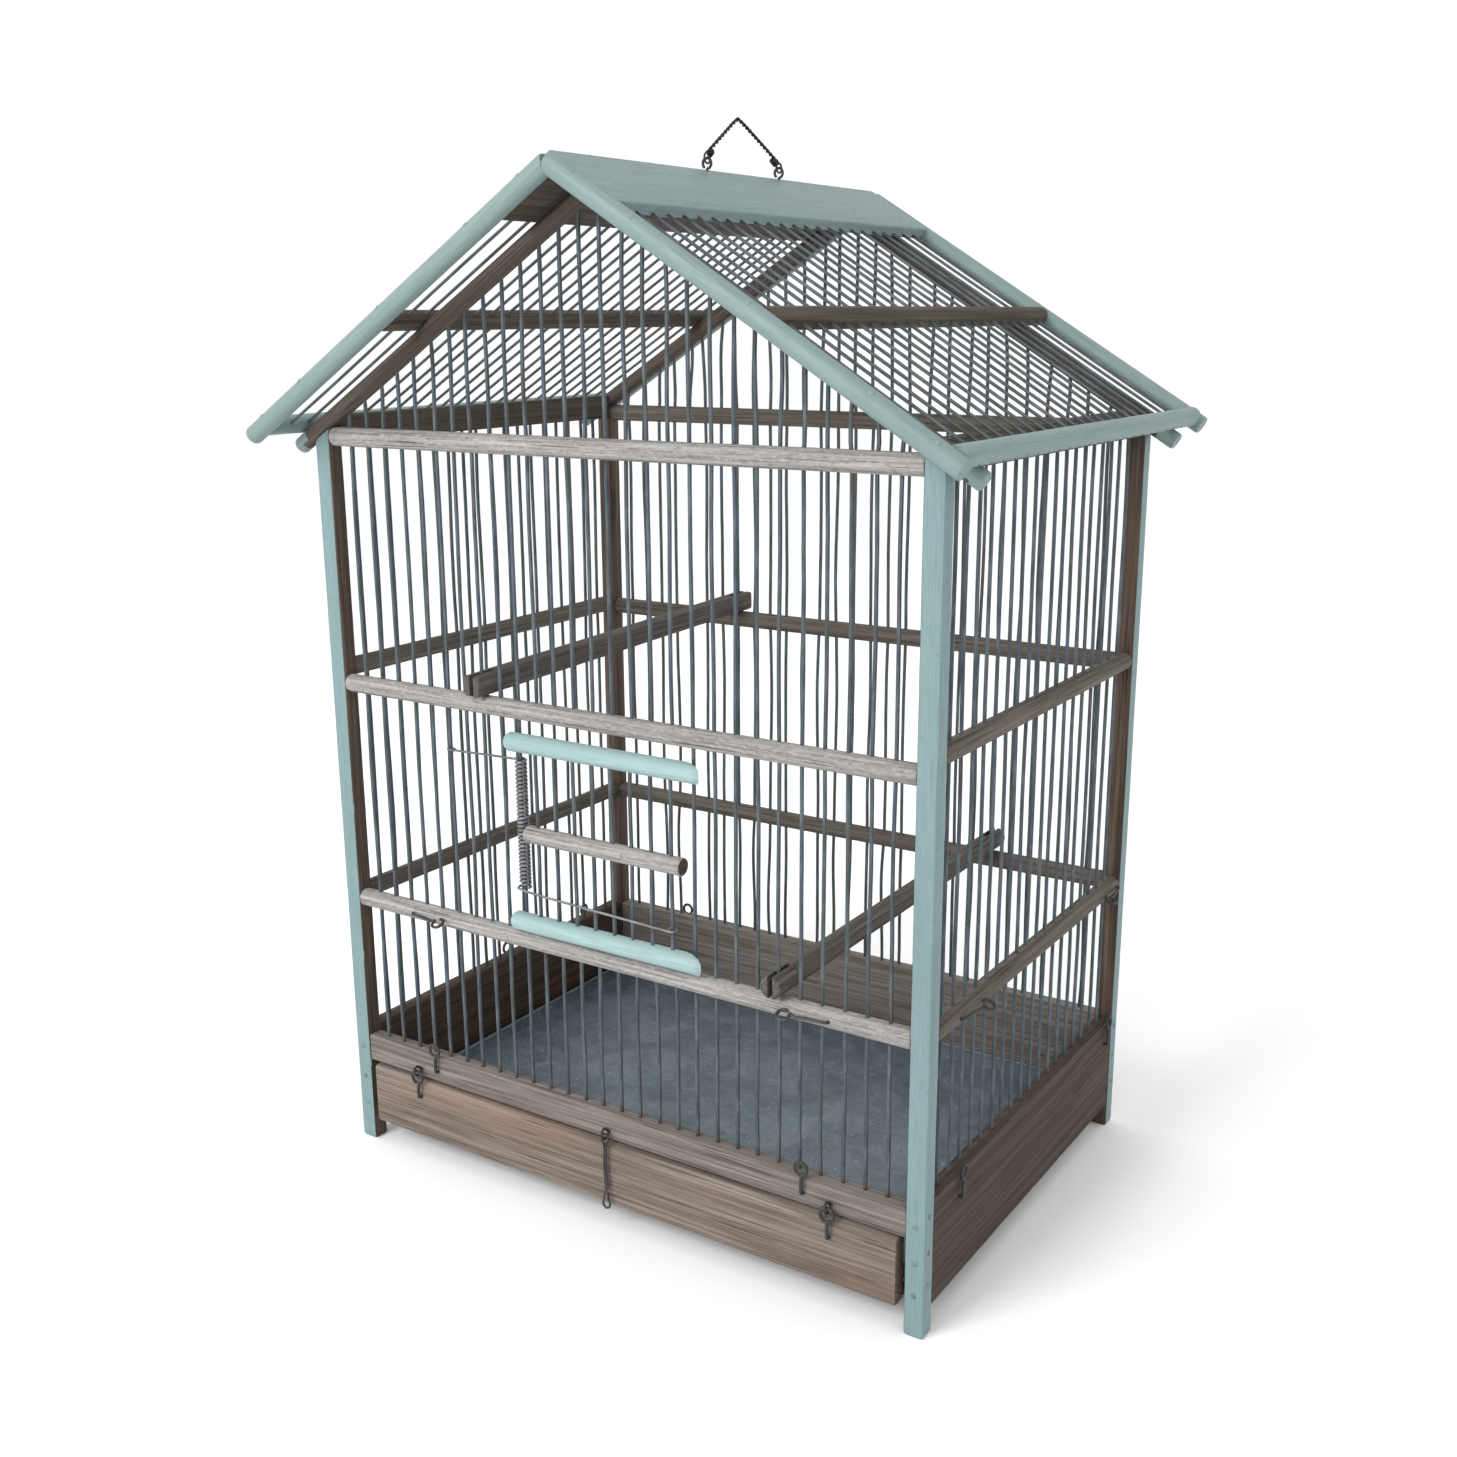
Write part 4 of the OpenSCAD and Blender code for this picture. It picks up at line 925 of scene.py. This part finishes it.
# ---- handle ----
EYE_Y, EYE_Z, LINK_R = (-30.0, 50.5), RIDGE_Z + RIDGE_TOP_N / math.cos(SLOPE) + 3.6, 3.0
b = Build()
for k, y in enumerate(EYE_Y):
    pts = [Vector((0, y, EYE_Z - 14)), Vector((0, y, EYE_Z - 8)), Vector((0, y, EYE_Z - 4.6))]
    for a in range(-80, 250, 24):
        x, z = polar(LINK_R, a)
        pts.append(Vector((x, y + 0.5 * (a + 80) / 330, EYE_Z + z)))
    tube(b, spline(pts, 4), 0.85, 740 + k)
b.piece("ridge_screw_eyes", IRON, "iron_hardware", "root", "handle_eyes")

# two strands twisted round each other, a ring at each end, and its tail wound round the strands
STRAND_R, TWIST_R, TWIST_PITCH, sideways = 0.6, 0.62, 7.5, Vector((1, 0, 0))
b = Build()
apex = Vector((0, 4, EYE_Z + 27.4))
left, right = (Vector((0, y, EYE_Z + 5.6)) for y in EYE_Y)
line = spline([left, left.lerp(apex, 0.5) + Vector((0.4, -0.4, 0.5)), apex + Vector((0, -2.5, -1.2)),
               apex + Vector((0, 2.5, -1.0)), apex.lerp(right, 0.5) + Vector((-0.4, 0.5, 0.5)), right], 24)
for strand in (0, 1):
    path, s = [], 0.0
    for k, p in enumerate(line):
        if k:
            s += (p - line[k - 1]).length
        t = (line[min(k + 1, len(line) - 1)] - line[max(k - 1, 0)]).normalized()
        x, y = polar(TWIST_R, 180 * strand + 360 * s / TWIST_PITCH)
        path.append(p + sideways * x + t.cross(sideways) * y)
    tube(b, path, STRAND_R, 745 + 3 * strand)
for k, y in enumerate(EYE_Y):
    centre = Vector((0, y, EYE_Z + 3.0))
    ring = []
    for a in range(0, 360, 20):
        up, along = polar(LINK_R, a)
        ring.append(centre + Vector((0.5 * math.sin(math.radians(a / 2)), along, up)))
    tube(b, ring, STRAND_R, 748 + k, closed=True)
    d = (apex - centre).normalized()
    tail = []
    for q in range(61):
        c, s = polar(1.45, 30 * q)
        rise = 3.4 + 0.085 * q * (1.1 if k else 0.7)
        tail.append(centre + d * rise + sideways * c + d.cross(sideways) * s)
    tube(b, tail, 0.5, 751 + k)
b.piece("handle_twisted_wire", HANDLE, "handle_wire", "handle", "handle_wire")


# ---- nails ----
def nail(b, centre, out, r, h):
    """A domed nail head of radius r that stands h out of the wood."""
    sides = 12
    u = out.orthogonal().normalized()
    v = out.cross(u)
    base = len(b.verts)
    dome = ((1.0, -0.4), (1.0, 0.2 * h), (0.8, 0.75 * h), (0.42, 0.95 * h), (0.15, h))
    for part, up in dome:
        circle = [polar(part * r, 360 * i / sides) for i in range(sides)]
        points = [centre + out * up + u * x + v * y for x, y in circle]
        b.ring(points, [tuple(p) for p in points], [0.0] * sides)
    b.skin(base, sides, len(dome))


b = Build()
for sx in (-1, 1):
    for sy in (-1, 1):
        for z in (26, 46, 68):
            nail(b, Vector((sx * WALL_X, sy * CAGE_D / 2, z)), Vector((0, sy, 0)), 1.7, 0.49)
            nail(b, Vector((sx * CAGE_W / 2, sy * WALL_Y, z + 6)), Vector((sx, 0, 0)), 1.7, 0.49)
b.piece("post_nail_heads", NAIL, "nail_steel", "root", "frame_nails")
b = Build()
for side in (-1, 1):
    for sy in (-1, 1):
        for s in (18, 62, 142, 221, 262):
            up = on_slope(side, s, 0, 1) - on_slope(side, s, 0, 0)
            out = (up * 0.75 + Vector((0, sy, 0)) * 0.6).normalized()
            nail(b, on_slope(side, s, sy * BARGE_Y, 0) + out * (BARGE_R - 0.15), out, 1.5, 0.5)
b.piece("barge_nail_heads", ROOF_PAINT, "blue_green_paint", "root")

# ---- stage, light and camera, in metres ----
FLOOR_HALF, FLOOR_WHITE = 30, (0.98, 0.98, 0.98, 1)
floor_mesh = bpy.data.meshes.new("studio_floor")
corners = [(-FLOOR_HALF, -FLOOR_HALF, 0), (FLOOR_HALF, -FLOOR_HALF, 0), (FLOOR_HALF, FLOOR_HALF, 0),
           (-FLOOR_HALF, FLOOR_HALF, 0)]
floor_mesh.from_pydata(corners, [], [(0, 1, 2, 3)])
floor = bpy.data.objects.new("studio_floor", floor_mesh)
bpy.context.scene.collection.objects.link(floor)
floor_mesh.materials.append(Shader("floor_paint").finish(FLOOR_WHITE, 0.9, specular=0.0))

world = bpy.data.worlds.new("studio")
bpy.context.scene.world = world
world.use_nodes = True
background = world.node_tree.nodes["Background"]
background.inputs["Color"].default_value = (1, 1, 1, 1)
background.inputs["Strength"].default_value = 1.02

LIGHT_AT, LIGHT_TARGET, LIGHT_SIZE, LIGHT_POWER = Vector((-0.7, -2.6, 1.9)), Vector((0, 0, 0.3)), 1.3, 62
light = bpy.data.lights.new("key_light", "AREA")
light.shape = "SQUARE"
light.size = LIGHT_SIZE
light.energy = LIGHT_POWER
lamp = bpy.data.objects.new("key_light", light)
lamp.location = LIGHT_AT
lamp.rotation_euler = (LIGHT_TARGET - LIGHT_AT).to_track_quat("-Z", "Y").to_euler()
bpy.context.scene.collection.objects.link(lamp)
lamp.visible_camera = False

CAMERA_AT, LENS_MM, SENSOR_MM = (0.54606, -0.84592, 0.54763), 39.294, 36
AZIMUTH, ELEVATION, ROLL = math.radians(33.18), math.radians(14.49), math.radians(0.38)
camera = bpy.data.cameras.new("camera")
camera.sensor_width = SENSOR_MM
camera.lens = LENS_MM
camera_obj = bpy.data.objects.new("camera", camera)
bpy.context.scene.collection.objects.link(camera_obj)
backward = Vector((math.sin(AZIMUTH) * math.cos(ELEVATION), -math.cos(AZIMUTH) * math.cos(ELEVATION),
                   math.sin(ELEVATION)))
level_right = Vector((math.cos(AZIMUTH), math.sin(AZIMUTH), 0))
level_up = backward.cross(level_right)
rolled_right = level_right * math.cos(ROLL) - level_up * math.sin(ROLL)
rolled_up = level_right * math.sin(ROLL) + level_up * math.cos(ROLL)
turned = Matrix((rolled_right, rolled_up, backward)).transposed().to_4x4()
camera_obj.matrix_world = Matrix.Translation(CAMERA_AT) @ turned
bpy.context.scene.camera = camera_obj
bpy.context.scene.view_settings.view_transform = "Standard"

bpy.context.view_layer.update()
